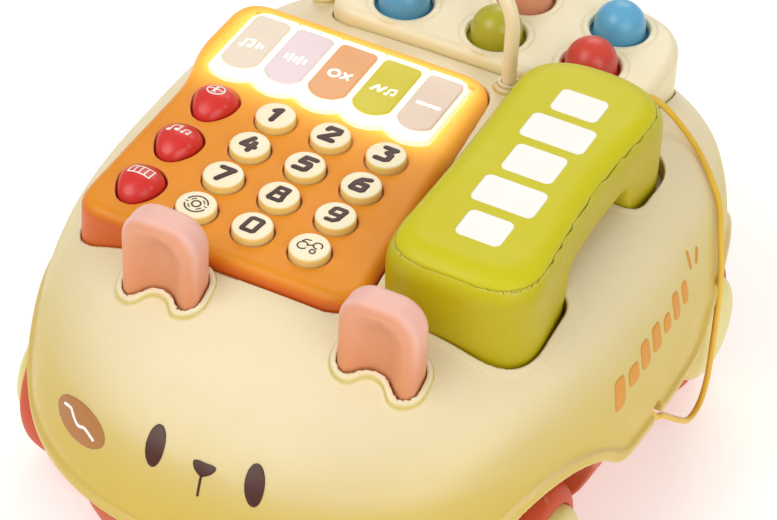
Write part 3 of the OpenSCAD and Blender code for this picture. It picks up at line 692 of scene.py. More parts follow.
# strokes of each digit in a cell 4 wide and 6 high
DIGITS = {
    "0": [[(.5, .2), (3.3, .2), (3.7, .6), (3.7, 5.4), (3.3, 5.8), (.7, 5.8), (.3, 5.4), (.3, .6),
           (.5, .2)]],
    "1": [[(.9, 4.6), (2.3, 5.8), (2.3, .2)]],
    "2": [[(.3, 4.7), (.5, 5.8), (3.5, 5.8), (3.7, 4.2), (.3, .3), (3.9, .3)]],
    "3": [[(.4, 5.8), (3.6, 5.8), (2.0, 3.5), (3.5, 3.0), (3.6, .9), (2.8, .2), (.3, .3)]],
    "4": [[(1.7, 5.9), (.2, 2.0), (3.9, 2.0)], [(3.1, 4.0), (3.0, .1)]],
    "5": [[(3.8, 5.8), (.8, 5.8), (.5, 3.4), (3.2, 3.4), (3.6, 2.6), (3.4, .6), (2.9, .2),
           (.2, .3)]],
    "6": [[(3.2, 5.8), (1.2, 5.0), (.4, 3.0), (.3, .6), (.7, .2), (3.3, .2), (3.7, .6), (3.6, 3.0),
           (.6, 3.1)]],
    "7": [[(.3, 5.6), (3.8, 5.6), (1.7, .1)]],
    "8": [[(.7, 5.8), (3.4, 5.8), (3.4, 3.3), (.6, 3.3), (.7, 5.8)],
          [(.6, 3.1), (.2, .6), (.6, .2), (3.5, .2), (3.8, .6), (3.4, 3.1)]],
    "9": [[(3.4, 2.9), (.7, 2.9), (.3, 3.4), (.5, 5.5), (.9, 5.8), (3.4, 5.8), (3.7, 5.4),
           (3.5, 1.2), (2.6, .2), (.8, .2)]]}
DIGIT_SIZE, DIGIT_WIDEN, DIGIT_SLANT = 1.12, 1.12, 0.11


def digit(sign, cx, cy):
    s = DIGIT_SIZE
    lines = [[(cx + ((a - 2.0) + DIGIT_SLANT * (b - 3.0)) * s * DIGIT_WIDEN, cy + (b - 3.0) * s)
              for a, b in line] for line in DIGITS[sign]]
    # closed digits are drawn thinner
    return pen(lines, 0.78 * s if sign in "089" else 0.94 * s)


MODE_ICONS = [
    join(pen([arc(0, 0, 3.1, 0, 360), arc(-2.2, 0, 2.6, -52, 52, 8),
              arc(2.2, 0, 2.6, 128, 232, 8)], .26),
         pen([[(-3.0, 0), (3.0, 0)]], .22)),
    join(notes(-1.6, .2, 1.25, .3), notes(2.6, -.2, .8, .22)),
    pen([[(-4, -2.2), (4, -2.2), (4, 2.2), (-4, 2.2), (-4, -2.2)]]
        + [[(a, -2.2), (a, .2)] for a in (-2, 0, 2)]
        + [[(a, .4), (a, 2)] for a in (-2, 0, 2)], .27)]
PLATE_ICONS = [
    join(notes(-1.5, 0, 1.35, .42),
         pen([[(2.4, -1.4), (2.4, 1.4)], [(4.0, -.6), (4.0, .6)]], .5)),
    pen([[(a, -b), (a, b)]
         for a, b in ((-3.6, 1), (-1.8, 1.9), (0, 1.2), (1.8, 2.1), (3.6, .9))], .55),
    join(pen([arc(-1.8, -.2, 1.9, 0, 360)], .55),
         pen([[(1.4, -1.6), (4.0, 1.6)], [(1.5, 1.4), (3.9, -1.4)]], .55)),
    join(pen([[(-4, -1.5), (-2.6, 1.5), (-1.2, -1.5), (.2, 1.5)]], .55), notes(3.0, 0, 1.05, .36)),
    pen([[(-3.8, 0), (-1.4, 0)], [(.4, 0), (1.0, 0)], [(2.6, 0), (4.0, 0)]], .85)]


def left_key_icon(cx, cy):
    rings = [arc(cx, cy, 3.9, 20, 160), arc(cx, cy, 3.9, 200, 340), arc(cx, cy, 1.5, 0, 360)]
    dashes = [[(cx - 3.9, cy), (cx - 2.9, cy)], [(cx + 2.9, cy), (cx + 3.9, cy)]]
    dashes += [arc(cx, cy, 2.7, a, a + 36, 5) for a in (27, 117, 207, 297)]
    return join(pen(rings, .27), pen(dashes, .2))


def right_key_icon(cx, cy):
    return pen([
        arc(cx - 2.2, cy - .7, 1.75, 30, 330), arc(cx + 2.4, cy + 1.2, 1.5, -20, 280),
        arc(cx + 2.0, cy - 2.0, .95, 0, 360), [(cx - .9, cy - .2), (cx + .9, cy + .9)],
        [(cx - 3.2, cy + 1.2), (cx - 2.4, cy + 2.4), (cx - .8, cy + 2.6)]], .25)


def bars(x, y):
    "white level bars on the handset's cover: centre y, half width, half height"
    return either(*(rounded_box(x - 52.8, y - cy, half_x, half_y, 2.4) for cy, half_x, half_y in (
        (-38.0, 8.0, 6.6), (-20.2, 11.2, 7.0), (-1.6, 9.2, 7.4), (16.4, 11.6, 6.8),
        (33.0, 8.6, 6.2))))


side_rays = pen([[(34.0, 7.6), (35.2, 12.4)], [(38.6, 6.6), (41.6, 9.8)]], .8)
# slanted beads on the right flank: centre u, centre v, half width, half height
SIDE_BEADS = [
    (-25.0, -1.6, 3.2, 5.4), (-15.6, -.6, 3.4, 3.2), (-6.6, 1.0, 3.0, 4.6), (2.2, 1.6, 3.0, 4.4),
    (10.6, 1.4, 2.6, 3.0), (18.6, 2.6, 2.4, 4.6), (26.0, 2.9, 2.2, 3.8)]


def side_motif(u, v):
    beads = [rounded_box(u - cu - 0.22 * (v - cv), v - cv, half_u, half_v, 2.0)
             for cu, cv, half_u, half_v in SIDE_BEADS]
    return either(*beads, side_rays(u, v))


def mark(surface, flat, thick=0.14, sink=0.5):
    "a thin mark on the surface whose height is surface(x, y)"
    def field(x, y, z):
        h = z - surface(x, y)
        return round_both(both(h - thick, -h - sink), flat(x, y), 0.09)
    return field


class Patch:
    "flat coordinates on the body about a point, along its own slope"

    def __init__(self, x, y, z, turn=0.0):
        spot = np.array([[x, y, z]], float)
        for _ in range(8):
            slope = gradient(body, spot)
            slope /= np.linalg.norm(slope)
            spot -= body(*spot.T)[:, None] * slope
        self.centre, self.normal = spot[0], slope[0]
        u = np.cross([0, 0, 1.0], self.normal)
        u /= np.linalg.norm(u)
        v = np.cross(self.normal, u)
        angle = math.radians(turn)
        self.u = u * math.cos(angle) + v * math.sin(angle)
        self.v = np.cross(self.normal, self.u)

    def mark(self, flat, thick):
        def field(x, y, z):
            rel = np.stack([x, y, z], -1) - self.centre
            d = body(x, y, z)
            layer = both(d - thick, -d - 0.6)
            d = round_both(layer, flat(rel @ self.u, rel @ self.v), 0.07)
            return both(d, np.abs(rel @ self.normal) - 9)
        return field


# --- materials --------------------------------------------------------------------

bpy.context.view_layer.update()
record = frame["record"]
body_of = {n: b for b, ns in record["behaviour"]["bodies"].items() for n in ns}


def linear(colour):
    "linear colour from 0-255 sRGB"
    return tuple((v / 255) / 12.92 if v / 255 <= 0.04045 else ((v / 255 + 0.055) / 1.055) ** 2.4
                 for v in colour)


class Shader:
    "a new material and short ways to add its nodes"

    def __init__(self, name):
        self.material = bpy.data.materials.new(name)
        self.material.use_nodes = True
        self.tree = self.material.node_tree
        self.tree.nodes.clear()
        self.output = self.add("OutputMaterial")
        self.coords = self.add("TexCoord").outputs["Object"]

    def add(self, kind, inputs=None, **settings):
        node = self.tree.nodes.new("ShaderNode" + kind)
        for key, value in settings.items():
            setattr(node, key, value)
        for key, value in (inputs or {}).items():
            self.put(node.inputs[key], value)
        return node

    def put(self, socket, value):
        if isinstance(value, bpy.types.NodeSocket):
            self.tree.links.new(value, socket)
        elif socket.type == "RGBA":
            socket.default_value = (*value, 1)
        else:
            socket.default_value = value

    def finish(self, node):
        self.put(self.output.inputs[0], node.outputs[0])
        return self.material

    def noise(self, scale, detail=2.0, rough=0.5, coords=None):
        return self.add("TexNoise", {"Scale": scale, "Detail": detail, "Roughness": rough,
                                     "Vector": coords or self.coords}).outputs["Fac"]

    def ramp(self, value, start, end, low=0.0, high=1.0):
        return self.add("MapRange", {"Value": value, "From Min": start, "From Max": end,
                                     "To Min": low, "To Max": high},
                        interpolation_type="SMOOTHSTEP").outputs["Result"]

    def math(self, operation, a, b=0.0):
        return self.add("Math", {0: a, 1: b, 2: 0.0}, operation=operation).outputs[0]

    def mix(self, share, a, b, mode="MIX"):
        return self.add("Mix", {0: share, 6: a, 7: b}, data_type="RGBA",
                        blend_type=mode).outputs[2]

    def split(self, vector):
        return self.add("SeparateXYZ", {0: vector}).outputs

    def geometry(self, output):
        return self.add("NewGeometry").outputs[output]

    def bump(self, height, strength, distance, **under):
        inputs = {"Strength": strength, "Distance": distance, "Height": height}
        return self.add("Bump", {**inputs, **under}).outputs[0]


def plastic(name, colour, rough=0.36, grain=0.25, shade_colour=None, shade_mix=0.7, sss=0.12, spec=0.5,
            coat=0.0, wear=0.12, tint=0.05, glow=None, grain_mm=0.8, foot=None, recolour=None):
    """Moulded plastic: grain, slow colour drift, roughness patches and lighter edges.
    Painted shade: a shade colour, mixed in on faces that look sideways, and foot: (colour, share)
    low on the piece.
    glow: (linear colour, strength). recolour: function that replaces the colour."""
    g = Shader(name)
    c = linear(colour)
    # painted shade: faces that turn from straight up towards sideways are mixed towards the shade
    # colour
    if shade_colour:
        up = g.split(g.geometry("Normal"))["Z"]
        c = g.mix(g.ramp(up, 0.97, 0.15, 0.0, shade_mix), c, linear(shade_colour))
    # painted shade: below 100 mm the foot colour, darker and yellower, is mixed in, fully at 56 mm
    if foot:
        c = g.mix(g.ramp(g.split(g.coords)["Z"], 0.100, 0.056, 0.0, foot[1]), c, linear(foot[0]))
    drift = g.ramp(g.noise(22.0, 3.0), 0.35, 0.65, 0.0, tint)
    c = g.mix(drift, c, g.mix(1.0, c, (0.72, 0.66, 0.5), "MULTIPLY"))
    edge = g.ramp(g.geometry("Pointiness"), 0.512, 0.56, 0.0, wear)
    c = g.mix(edge, c, g.mix(0.5, c, (1.0, 1.0, 0.97)))
    if recolour:
        c = recolour(g, c)
    fine = g.noise(1000.0 / grain_mm, 2.0, 0.6)
    smear = g.ramp(g.noise(60.0, 4.0, 0.65), 0.3, 0.7, rough - 0.05, rough + 0.07)
    grain_bump = g.bump(fine, grain, 0.00012)
    inputs = {
        "Base Color": c,
        "Roughness": g.math("ADD", smear, g.math("MULTIPLY", fine, 0.05)),
        "Normal": g.bump(g.noise(160.0), 0.05, 0.0006, Normal=grain_bump),
        "Specular IOR Level": spec}
    if sss:
        inputs.update({"Subsurface Weight": sss, "Subsurface Radius": (1.0, 0.6, 0.3),
                       "Subsurface Scale": 0.004})
    if coat:
        inputs.update({"Coat Weight": coat, "Coat Roughness": 0.12})
    if glow:
        strength = glow[1](g) if callable(glow[1]) else glow[1]
        inputs.update({"Emission Color": glow[0], "Emission Strength": strength})
    return g.finish(g.add("BsdfPrincipled", inputs))


def steel():
    colour, rough = (196, 198, 203), 0.3
    g = Shader("zinc_steel")
    grain = g.noise(700, 3, 0.6, g.add("Mapping", {0: g.coords}).outputs[0])
    dark = linear([int(v * .7) for v in colour])
    return g.finish(g.add("BsdfPrincipled", {
        "Metallic": 1.0,
        "Base Color": g.mix(g.ramp(grain, .3, .7, 0, .35), linear(colour), dark),
        "Roughness": g.ramp(grain, .3, .7, rough - .07, rough + .12),
        "Normal": g.bump(grain, .2, .00008)}))


def piano_light(g):
    "strength that is full around the piano keys and falls off outside (metres)"
    low, high = {"X": -0.0795, "Y": 0.0125}, {"X": 0.0085, "Y": 0.0505}
    corner, fall, strength = 0.006, 0.0052, 0.85
    place = g.split(g.coords)
    squares = []
    for axis in "XY":
        middle, half = (low[axis] + high[axis]) / 2, (high[axis] - low[axis]) / 2
        off = g.math("ABSOLUTE", g.math("SUBTRACT", place[axis], middle))
        off = g.math("MAXIMUM", g.math("SUBTRACT", off, half - corner), 0.0)
        squares.append(g.math("MULTIPLY", off, off))
    d = g.math("SUBTRACT", g.math("SQRT", g.math("ADD", *squares)), corner)
    light = g.math("EXPONENT", g.math("DIVIDE", g.math("MAXIMUM", d, 0.0), -fall))
    return g.math("MULTIPLY", light, strength)


def ear_colour(g, wear):
    "paler towards the tip, warmer on the front, with the plastic's wear multiplied in"
    height = g.ramp(g.split(g.coords)["Z"], 0.104, 0.134)
    forward = g.math("MULTIPLY", g.split(g.geometry("Normal"))["Y"], -1.0)
    front = g.math("MULTIPLY", g.ramp(forward, 0.35, 0.95), 0.75)
    c = g.mix(height, linear((222, 150, 112)), linear((238, 188, 176)))
    c = g.mix(front, c, linear((216, 142, 94)))
    wear = g.mix(1.0, wear, (1.75, 1.75, 1.75), "MULTIPLY")
    return g.mix(0.35, c, g.mix(1.0, c, wear, "MULTIPLY"))


# painted shade: the shell's sideways and low colours are the yellow it takes in shade
shell_cream = plastic("shell_cream", (236, 221, 184), grain=0.18, shade_colour=(206, 184, 84),
                      shade_mix=0.85, sss=0.16, wear=0.25, tint=0.06, foot=((206, 174, 52), 0.8))
# in the materials below, the sideways colour is painted shade, a darker or yellower copy of the
# base colour
deck_cream = plastic("deck_cream", (243, 230, 196), rough=0.34, grain=0.18, shade_colour=(226, 210, 150),
                     shade_mix=0.6, sss=0.2, wear=0.2)
arch_cream = plastic("arch_cream", (240, 224, 186), rough=0.3, grain=0.1, sss=0.15)
chassis_orange = plastic("chassis_orange", (200, 84, 30), rough=0.45, grain=0.6, sss=0.03,
                         spec=0.35, grain_mm=0.6)
inner_plastic = plastic("inner_plastic", (216, 212, 198), rough=0.5, grain=0.4)
panel_orange = plastic("panel_orange", (233, 146, 22), rough=0.38, grain=0.2, shade_colour=(204, 84, 20),
                       shade_mix=0.85, sss=0.05, spec=0.32, wear=0.18,
                       glow=((1.0, 0.62, 0.10), piano_light))
silicone = plastic("silicone", (206, 206, 198), rough=0.55, grain=0.3, sss=0.2)
circuit_board = plastic("circuit_board", (22, 86, 44), rough=0.3, grain=0.5, sss=0, grain_mm=2.5)
black_plastic = plastic("black_plastic", (30, 30, 33), rough=0.45, grain=0.5, sss=0)
battery_sleeve = plastic("battery_sleeve", (98, 112, 128), rough=0.3, grain=0.1, sss=0)
zinc_steel = steel()
button_red = plastic("button_red", (220, 44, 38), rough=0.32, grain=0.08, shade_colour=(184, 26, 26),
                     shade_mix=0.5, sss=0.1, coat=0.1)
key_cream = plastic("key_cream", (252, 240, 208), rough=0.32, grain=0.1, shade_colour=(240, 214, 116),
                    shade_mix=0.85, sss=0.25)
HANDSET_PLASTIC = dict(rough=0.4, grain=0.22, sss=0.04, spec=0.32, wear=0.15)
cover_green = plastic("handset_cover_green", (206, 198, 14), shade_colour=(190, 180, 8), shade_mix=0.7,
                      **HANDSET_PLASTIC)
handset_green = plastic("handset_body_green", (204, 196, 14), shade_colour=(178, 160, 4), shade_mix=0.85,
                        **HANDSET_PLASTIC)
cord_yellow = plastic("cord_yellow", (228, 184, 38), rough=0.42, grain=0.5, sss=0.05, grain_mm=1.2)
wheel_orange = plastic("wheel_orange", (202, 72, 26), rough=0.46, grain=0.5, sss=0.03, spec=0.35,
                       wear=0.15, grain_mm=0.7)
cap_cream = plastic("cap_cream", (226, 212, 130), rough=0.32, sss=0.15, grain=0.12)
PRINT = dict(grain=0.1, sss=0, wear=0)
print_brown = plastic("print_brown", (62, 30, 22), rough=0.38, **PRINT)
face_brown = plastic("print_face_brown", (72, 28, 14), grain=0.08, sss=0, wear=0)
print_white = plastic("print_white", (250, 248, 244), rough=0.4, **PRINT)
print_cheek = plastic("print_cheek", (176, 116, 58), rough=0.4, **PRINT)
print_orange = plastic("print_orange", (216, 144, 14), rough=0.4, **PRINT)
ear_pink = plastic("ear_pink", (200, 200, 200), rough=0.42, grain=0.3, sss=0.3,
                   recolour=ear_colour)
# painted shade: each ball's sideways colour is its own colour darkened to 86 %
ball_plastics = [
    plastic("ball_%d" % (i + 1), colour, rough=0.3, grain=0.05, sss=0.08, coat=0.12,
            shade_colour=tuple(int(v * .86) for v in colour), shade_mix=0.5)
    for i, colour in enumerate([(92, 168, 212), (186, 180, 40), (214, 66, 50), (236, 158, 52),
                                (230, 156, 120), (96, 174, 216)])]
piano_white = plastic("piano_white", (255, 250, 236), rough=0.35, grain=0.1, sss=0.3,
                      glow=((1.0, 0.93, 0.74), 0.4))
plate_plastics = [
    plastic("plate_%d" % (i + 1), colour, rough=0.3, grain=0.08, sss=0.1,
            glow=(linear(colour), 0.06))
    for i, colour in enumerate([(228, 214, 196), (230, 212, 220), (228, 166, 112), (208, 198, 34),
                                (228, 208, 192)])]
plate_mark_white = plastic("plate_mark_white", (255, 253, 246), rough=0.4, grain=0.1, sss=0,
                           glow=((1, .97, .9), 0.4))

# CAD pieces that keep their own mesh
PAINT = {
    "ball_tray": inner_plastic, "key_mat": silicone, "main_pcb": circuit_board,
    "speaker": black_plastic, "batteries": battery_sleeve, "battery_door": chassis_orange,
    "battery_door_screw": zinc_steel, "power_switch": black_plastic, "housing_screws": zinc_steel,
    "front_axle": zinc_steel, "rear_axle": zinc_steel,
    **{"ball_spring_%d" % (i + 1): zinc_steel for i in range(6)}}
for node, material in PAINT.items():
    slots = frame["nodes"][node].data.materials
    slots.clear()
    slots.append(material)

# --- making objects ---------------------------------------------------------------


def build_mesh(name, points, faces, normals=None):
    mesh = bpy.data.meshes.new(name)
    points = np.ascontiguousarray(points * MM, np.float32)
    sides = faces.shape[1]
    mesh.vertices.add(len(points))
    mesh.vertices.foreach_set("co", points.ravel())
    mesh.loops.add(faces.size)
    mesh.loops.foreach_set("vertex_index", np.ascontiguousarray(faces, np.int32).ravel())
    mesh.polygons.add(len(faces))
    mesh.polygons.foreach_set("loop_start", np.arange(0, faces.size, sides, dtype=np.int32))
    mesh.polygons.foreach_set("loop_total", np.full(len(faces), sides, np.int32))
    mesh.update(calc_edges=True)
    mesh.validate()
    mesh.polygons.foreach_set("use_smooth", np.ones(len(mesh.polygons), bool))
    if normals is not None:
        mesh.normals_split_custom_set_from_vertices(normals.tolist())
    return mesh


def close_mesh(mesh, weld=False):
    "fill the open ends, after welding double vertices if asked"
    work = bmesh.new()
    work.from_mesh(mesh)
    if weld:
        bmesh.ops.remove_doubles(work, verts=work.verts, dist=1e-6)
    bmesh.ops.holes_fill(work, edges=[e for e in work.edges if e.is_boundary])
    bmesh.ops.recalc_face_normals(work, faces=work.faces)
    for face in work.faces:
        face.smooth = True
    work.to_mesh(mesh)
    work.free()


def add_object(name, data):
    obj = bpy.data.objects.new(name, data)
    bpy.context.scene.collection.objects.link(obj)
    return obj


def place(mesh, name, material, node=None, body=None, slot=None, rides=True):
    "node: the CAD piece it replaces. body: what it moves with, by default the node's own"
    obj = add_object(name, mesh)
    mesh.materials.append(material)
    if rides:
        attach(obj, body or body_of[node])
    if node:
        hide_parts(node)
    return obj


MOST_TRIANGLES = 190000


def thin_out(name, field, points, faces):
    "decimate to the triangle limit and settle back onto the surface"
    obj = add_object(name + "_tmp", build_mesh(name + "_tmp", points, faces))
    obj.modifiers.new("d", "DECIMATE").ratio = MOST_TRIANGLES / (len(faces) * 2)
    result = obj.evaluated_get(bpy.context.evaluated_depsgraph_get())
    mesh = result.to_mesh()
    mesh.calc_loop_triangles()
    points = np.empty(len(mesh.vertices) * 3, np.float32)
    mesh.vertices.foreach_get("co", points)
    faces = np.empty(len(mesh.loop_triangles) * 3, np.int32)
    mesh.loop_triangles.foreach_get("vertices", faces)
    result.to_mesh_clear()
    bpy.data.objects.remove(obj)
    points = points.reshape(-1, 3).astype(float) / MM
    return settle(field, points, 0.5, 2), faces.reshape(-1, 3)


def sculpt(name, field, low, high, step, material, **placing):
    "mesh a field between two corners, sampled every step"
    points, faces = surface_mesh(field, low, high, step)
    if len(faces) * 2 > MOST_TRIANGLES:
        points, faces = thin_out(name, field, points, faces)
    mesh = build_mesh(name, points, faces, unit_gradient(field, points, 0.15))
    return place(mesh, name, material, **placing)


def lathe(name, profile, material, centre, sides, axis="z", flip=1, ripple=None, **placing):
    "turn a profile of (radius, height) about an axis; ripple adds to the radius"
    profile = np.array(profile, float)
    turn = (np.arange(sides) * 2 * math.pi / sides)[:, None]
    rows = len(profile)
    r = profile[:, 0][None, :] * np.ones((sides, 1))
    along = profile[:, 1][None, :] * np.ones((sides, 1)) * flip
    if ripple is not None:
        r = r + ripple(turn, profile[None, :, 1], r)
    a, b = r * np.cos(turn), r * np.sin(turn)
    points = np.stack([along, a, b] if axis == "x" else [a, b, along], -1).reshape(-1, 3)
    i, j = np.arange(sides)[:, None], np.arange(rows - 1)[None, :]
    after = (i + 1) % sides
    faces = np.stack([i * rows + j, after * rows + j, after * rows + j + 1, i * rows + j + 1], -1)
    faces = faces.reshape(-1, 4)
    if flip < 0:
        faces = faces[:, ::-1]
    mesh = build_mesh(name, points + np.array(centre), faces)
    close_mesh(mesh, weld=True)
    return place(mesh, name, material, **placing)


def sweep(name, points, radius, material, sides, **placing):
    "round tube along points, without twist"
    p = np.array(points, float)
    ahead = np.gradient(p, axis=0)
    ahead /= np.linalg.norm(ahead, axis=1, keepdims=True)
    u = np.cross(ahead[0], [0, 0, 1.0] if abs(ahead[0, 2]) < .9 else [1.0, 0, 0])
    across = []
    for tangent in ahead:
        u = u - (u @ tangent) * tangent
        u /= np.linalg.norm(u)
        across.append(u)
    across = np.array(across)
    other = np.cross(ahead, across)
    turn = (np.arange(sides) * 2 * math.pi / sides)[None, :, None]
    rim = np.cos(turn) * across[:, None] + np.sin(turn) * other[:, None]
    skin = p[:, None] + radius * rim
    i, j = np.arange(len(p) - 1)[:, None], np.arange(sides)[None]
    after = (j + 1) % sides
    faces = np.stack([i * sides + j, i * sides + after, (i + 1) * sides + after,
                      (i + 1) * sides + j], -1).reshape(-1, 4)
    mesh = build_mesh(name, skin.reshape(-1, 3), faces)
    close_mesh(mesh)
    return place(mesh, name, material, **placing)


# --- body and the prints on it ----------------------------------------------------

sculpt("shell_skin", shell, (-110, -140, 46), (110, 140, 118), 0.9, shell_cream,
       node="upper_shell")
sculpt("tub_skin", tub, (-104, -132, 12), (104, 132, 67), 1.2, chassis_orange, node="base_tray")
sculpt("deck_skin", deck, (-64, 64, 81), (64, 125, 118), 0.8, deck_cream, node="ball_deck")
sculpt("panel_skin", panel, (-90, -74, 89), (28, 61, 118), 0.7, panel_orange, node="keypad_panel")


def print_on(name, patch, flat, step, material, below, above=None, thick=0.26):
    "below, above: reach of the meshed box either side of the patch's centre"
    above = above or below
    sculpt(name, patch.mark(flat, thick), patch.centre - below, patch.centre + above, step,
           material, body="chassis")


for name, eye_x in (("eye_left", -18.0), ("eye_right", 18.0)):
    print_on(name, Patch(eye_x, -123.6, 80.0, turn=12), ellipse(3.35, 6.9), 0.3, face_brown,
             [8, 10, 10])
muzzle = Patch(0.2, -124.8, 79.2)
nose = spline([(-4.1, 1.6), (-2.4, 2.3), (0, 2.2), (2.4, 2.3), (4.1, 1.6), (3.3, -.4),
               (1.4, -1.9), (0, -2.4), (-1.4, -1.9), (-3.3, -.4)], 6, closed=True)
print_on("nose", muzzle, lambda u, v: polygon_distance(np.stack([u, v], -1), nose), 0.28,
         face_brown, [7, 8, 8])
print_on("mouth_line", muzzle, pen([[(0, -1.5), (0.6, -8.4)]], .42), 0.24, face_brown,
         [4, 9, 12], [4, 9, 5])
for sign, side_name, spot in ((-1, "left", (-48.0, -120.3, 73.0)),
                              (1, "right", (49.5, -120.5, 67.0))):
    cheek = Patch(*spot)
    print_on("cheek_" + side_name, cheek, ellipse(12.8, 6.2), 0.45, print_cheek, [18, 14, 14])
    squiggle = spline([(-9.0, -sign * 1.2), (-5.4, sign * -1.7), (-2.4, sign * .2),
                       (.6, sign * 1.1), (3.4, sign * .2), (8.4, sign * 1.4)], 5).tolist()
    print_on("cheek_squiggle_" + side_name, cheek, pen([squiggle], .55), 0.3, print_white,
             [14, 13, 13], thick=0.4)
print_on("side_motif", Patch(102.0, -4.2, 81.8), side_motif, 0.4, print_orange,
         [12, 34, 14], [6, 48, 16])

# --- keypad -----------------------------------------------------------------------

KEY_NAMES = ["number_key_%d" % (k + 1) for k in range(9)]
KEY_NAMES += ["icon_key_left", "number_key_0", "icon_key_right"]
key_profile = rounded_profile([
    (0, 107.4), (2.6, 107.4, .2), (2.6, 110.8, .2), (8.2, 110.8, .2), (8.2, 112.4, .2),
    (6.9, 112.4, .2), (6.9, 117.6, 1.1), (5.4, 117.69)], 6)
key_profile += [(4.5, 117.743), (3, 117.802), (1.5, 117.838), (0, 117.85)]


def number_key(k):
    name = KEY_NAMES[k]
    key_x, key_y = KEYS[k]
    lathe(name + "_cap", key_profile, key_cream, (key_x, key_y, 0), 96, node=name)
    if k == 9:
        flat = left_key_icon(key_x, key_y)
    elif k == 11:
        flat = right_key_icon(key_x, key_y)
    else:
        flat = digit(str(k + 1) if k < 9 else "0", key_x, key_y)
    sculpt("sign_" + name, mark(key_dome(k), flat), (key_x - 5.6, key_y - 5.6, 116.9),
           (key_x + 5.6, key_y + 5.6, 118.3), 0.2, print_brown, body=body_of[name])


def mode_button(i):
    name = "mode_button_%d" % (i + 1)
    cx, cy = MODE_BUTTONS[i]
    sculpt(name + "_cap", button(i), (cx - 10, cy - 11, 107), (cx + 10, cy + 12, 121.2), 0.45,
           button_red, node=name)
    # the icon sits 2.2 behind the button's centre
    icon = mark(button_dome(i), lambda x, y: MODE_ICONS[i](x - cx, y - cy - 2.2), sink=0.4)
    sculpt("sign_" + name, icon, (cx - 6, cy - 3.4, 117), (cx + 6, cy + 6.6, 121), 0.2,
           print_white, body=body_of[name])


def piano_key(i):
    name = "piano_key_%d" % (i + 1)
    cx = PIANO[i]
    sculpt(name + "_base", piano_base(i), (cx - 10, 8, 107), (cx + 10, 54, 118), 0.45,
           piano_white, node=name)
    sculpt(name + "_plate", piano_plate(i), (cx - 9, 15, 115), (cx + 9, 49, 118), 0.4,
           plate_plastics[i], body=body_of[name])
    icon = mark(lambda x, y: PLATE_TOP, lambda x, y: PLATE_ICONS[i](x - cx, y - 30.5),
                thick=0.12, sink=0.3)
    sculpt(name + "_mark", icon, (cx - 6, 26, 116.7), (cx + 6, 36, 117.7), 0.22,
           plate_mark_white, body=body_of[name])


for build, count in ((number_key, 12), (mode_button, 3), (piano_key, 5)):
    for i in range(count):
        build(i)

# --- handset, ears and arch -------------------------------------------------------

sculpt("handset_low_skin", handset_low, (20, -66, 96), (85, 65, 136), 0.7, handset_green,
       node="handset_body")
sculpt("handset_cover_skin", handset_top, (20, -66, 129), (85, 65, 139), 0.6, cover_green,
       node="handset_cover")
sculpt("handset_bars", mark(cover_top, bars, thick=0.24), (38, -47, 135), (68, 42, 138), 0.35,
       print_white, body="handset")
for sign, name in ((-1, "ear_left"), (1, "ear_right")):
    sculpt(name + "_skin", ear(sign), (EAR_X * sign - 16, -88, 89), (EAR_X * sign + 16, -72, 136),
           0.55, ear_pink, node=name)


def arch_points():
    "up from one foot, over two quarter bends, and down to the other"
    bend_r, bend_z = 18, 136
    start, end = [np.array([*foot, 0.0]) for foot in ARCH_FEET]
    length = np.linalg.norm(end - start)
    along = (end - start) / length

    def bend_point(foot, way, t):
        rise = np.array([0, 0, bend_z + bend_r * math.sin(t)])
        return foot + way * bend_r * (1 - math.cos(t)) + rise

    points = [start + [0, 0, z] for z in np.linspace(97.3, bend_z, 12)]
    points += [bend_point(start, along, t) for t in np.linspace(0.12, math.pi / 2, 14)]
    points += [start + along * reach + np.array([0, 0, bend_z + bend_r])
               for reach in np.linspace(22, length - 22, 14)]
    points += [bend_point(end, -along, t) for t in np.linspace(math.pi / 2, 0.12, 14)]
    return points + [end + [0, 0, z] for z in np.linspace(bend_z, 86.3, 12)]


sweep("arch_tube_skin", arch_points(), 2.6, arch_cream, 32, node="arch_tube", body="chassis")

# --- pop balls --------------------------------------------------------------------

BALL_R, BALL_Z = 9.2, 116.1
ball_profile = [(0.0, 114), (7.4, 114), (7.4, 109.8), (11.2, 109.8), (11.2, 111.6), (11.0, 111.8),
                (9.35, 111.8), (BALL_R, 112)]
ball_profile += [(BALL_R * math.cos(t), BALL_Z + BALL_R * math.sin(t))
                 for t in np.linspace(0, math.pi / 2, 28)]
for i, (ball_x, ball_y) in enumerate(BALLS):
    name = "pop_ball_%d" % (i + 1)
    lathe(name + "_skin", ball_profile, ball_plastics[i], (ball_x, ball_y, 0), 96, node=name)

# springs under the balls, as fixed coils
COIL_R, COIL_Z, COIL_HEIGHT, COIL_STEPS = 6, 88.6, 23.6, 154
for i, (ball_x, ball_y) in enumerate(BALLS):
    points = [(ball_x + COIL_R * math.cos(math.pi * k / 14),
               ball_y + COIL_R * math.sin(math.pi * k / 14),
               COIL_Z + COIL_HEIGHT * k / COIL_STEPS) for k in range(COIL_STEPS + 1)]
    coil = sweep("ball_coil_%d" % (i + 1), points, 0.5, zinc_steel, 8,
                 node="ball_spring_%d" % (i + 1), rides=False)
    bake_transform(coil)

# --- wheels: profiles are (radius, distance from the middle of the toy, cut back) -------

TREAD_R = 28.9   # the running face lies outside this radius


def tread(turn, along, r):
    "36 shallow grooves across the running face"
    running = (r > TREAD_R) & (along > 60) & (along < 79)
    return np.where(running, -0.45 * smoothstep((np.cos(turn * 36) - 0.72) / 0.2), 0)


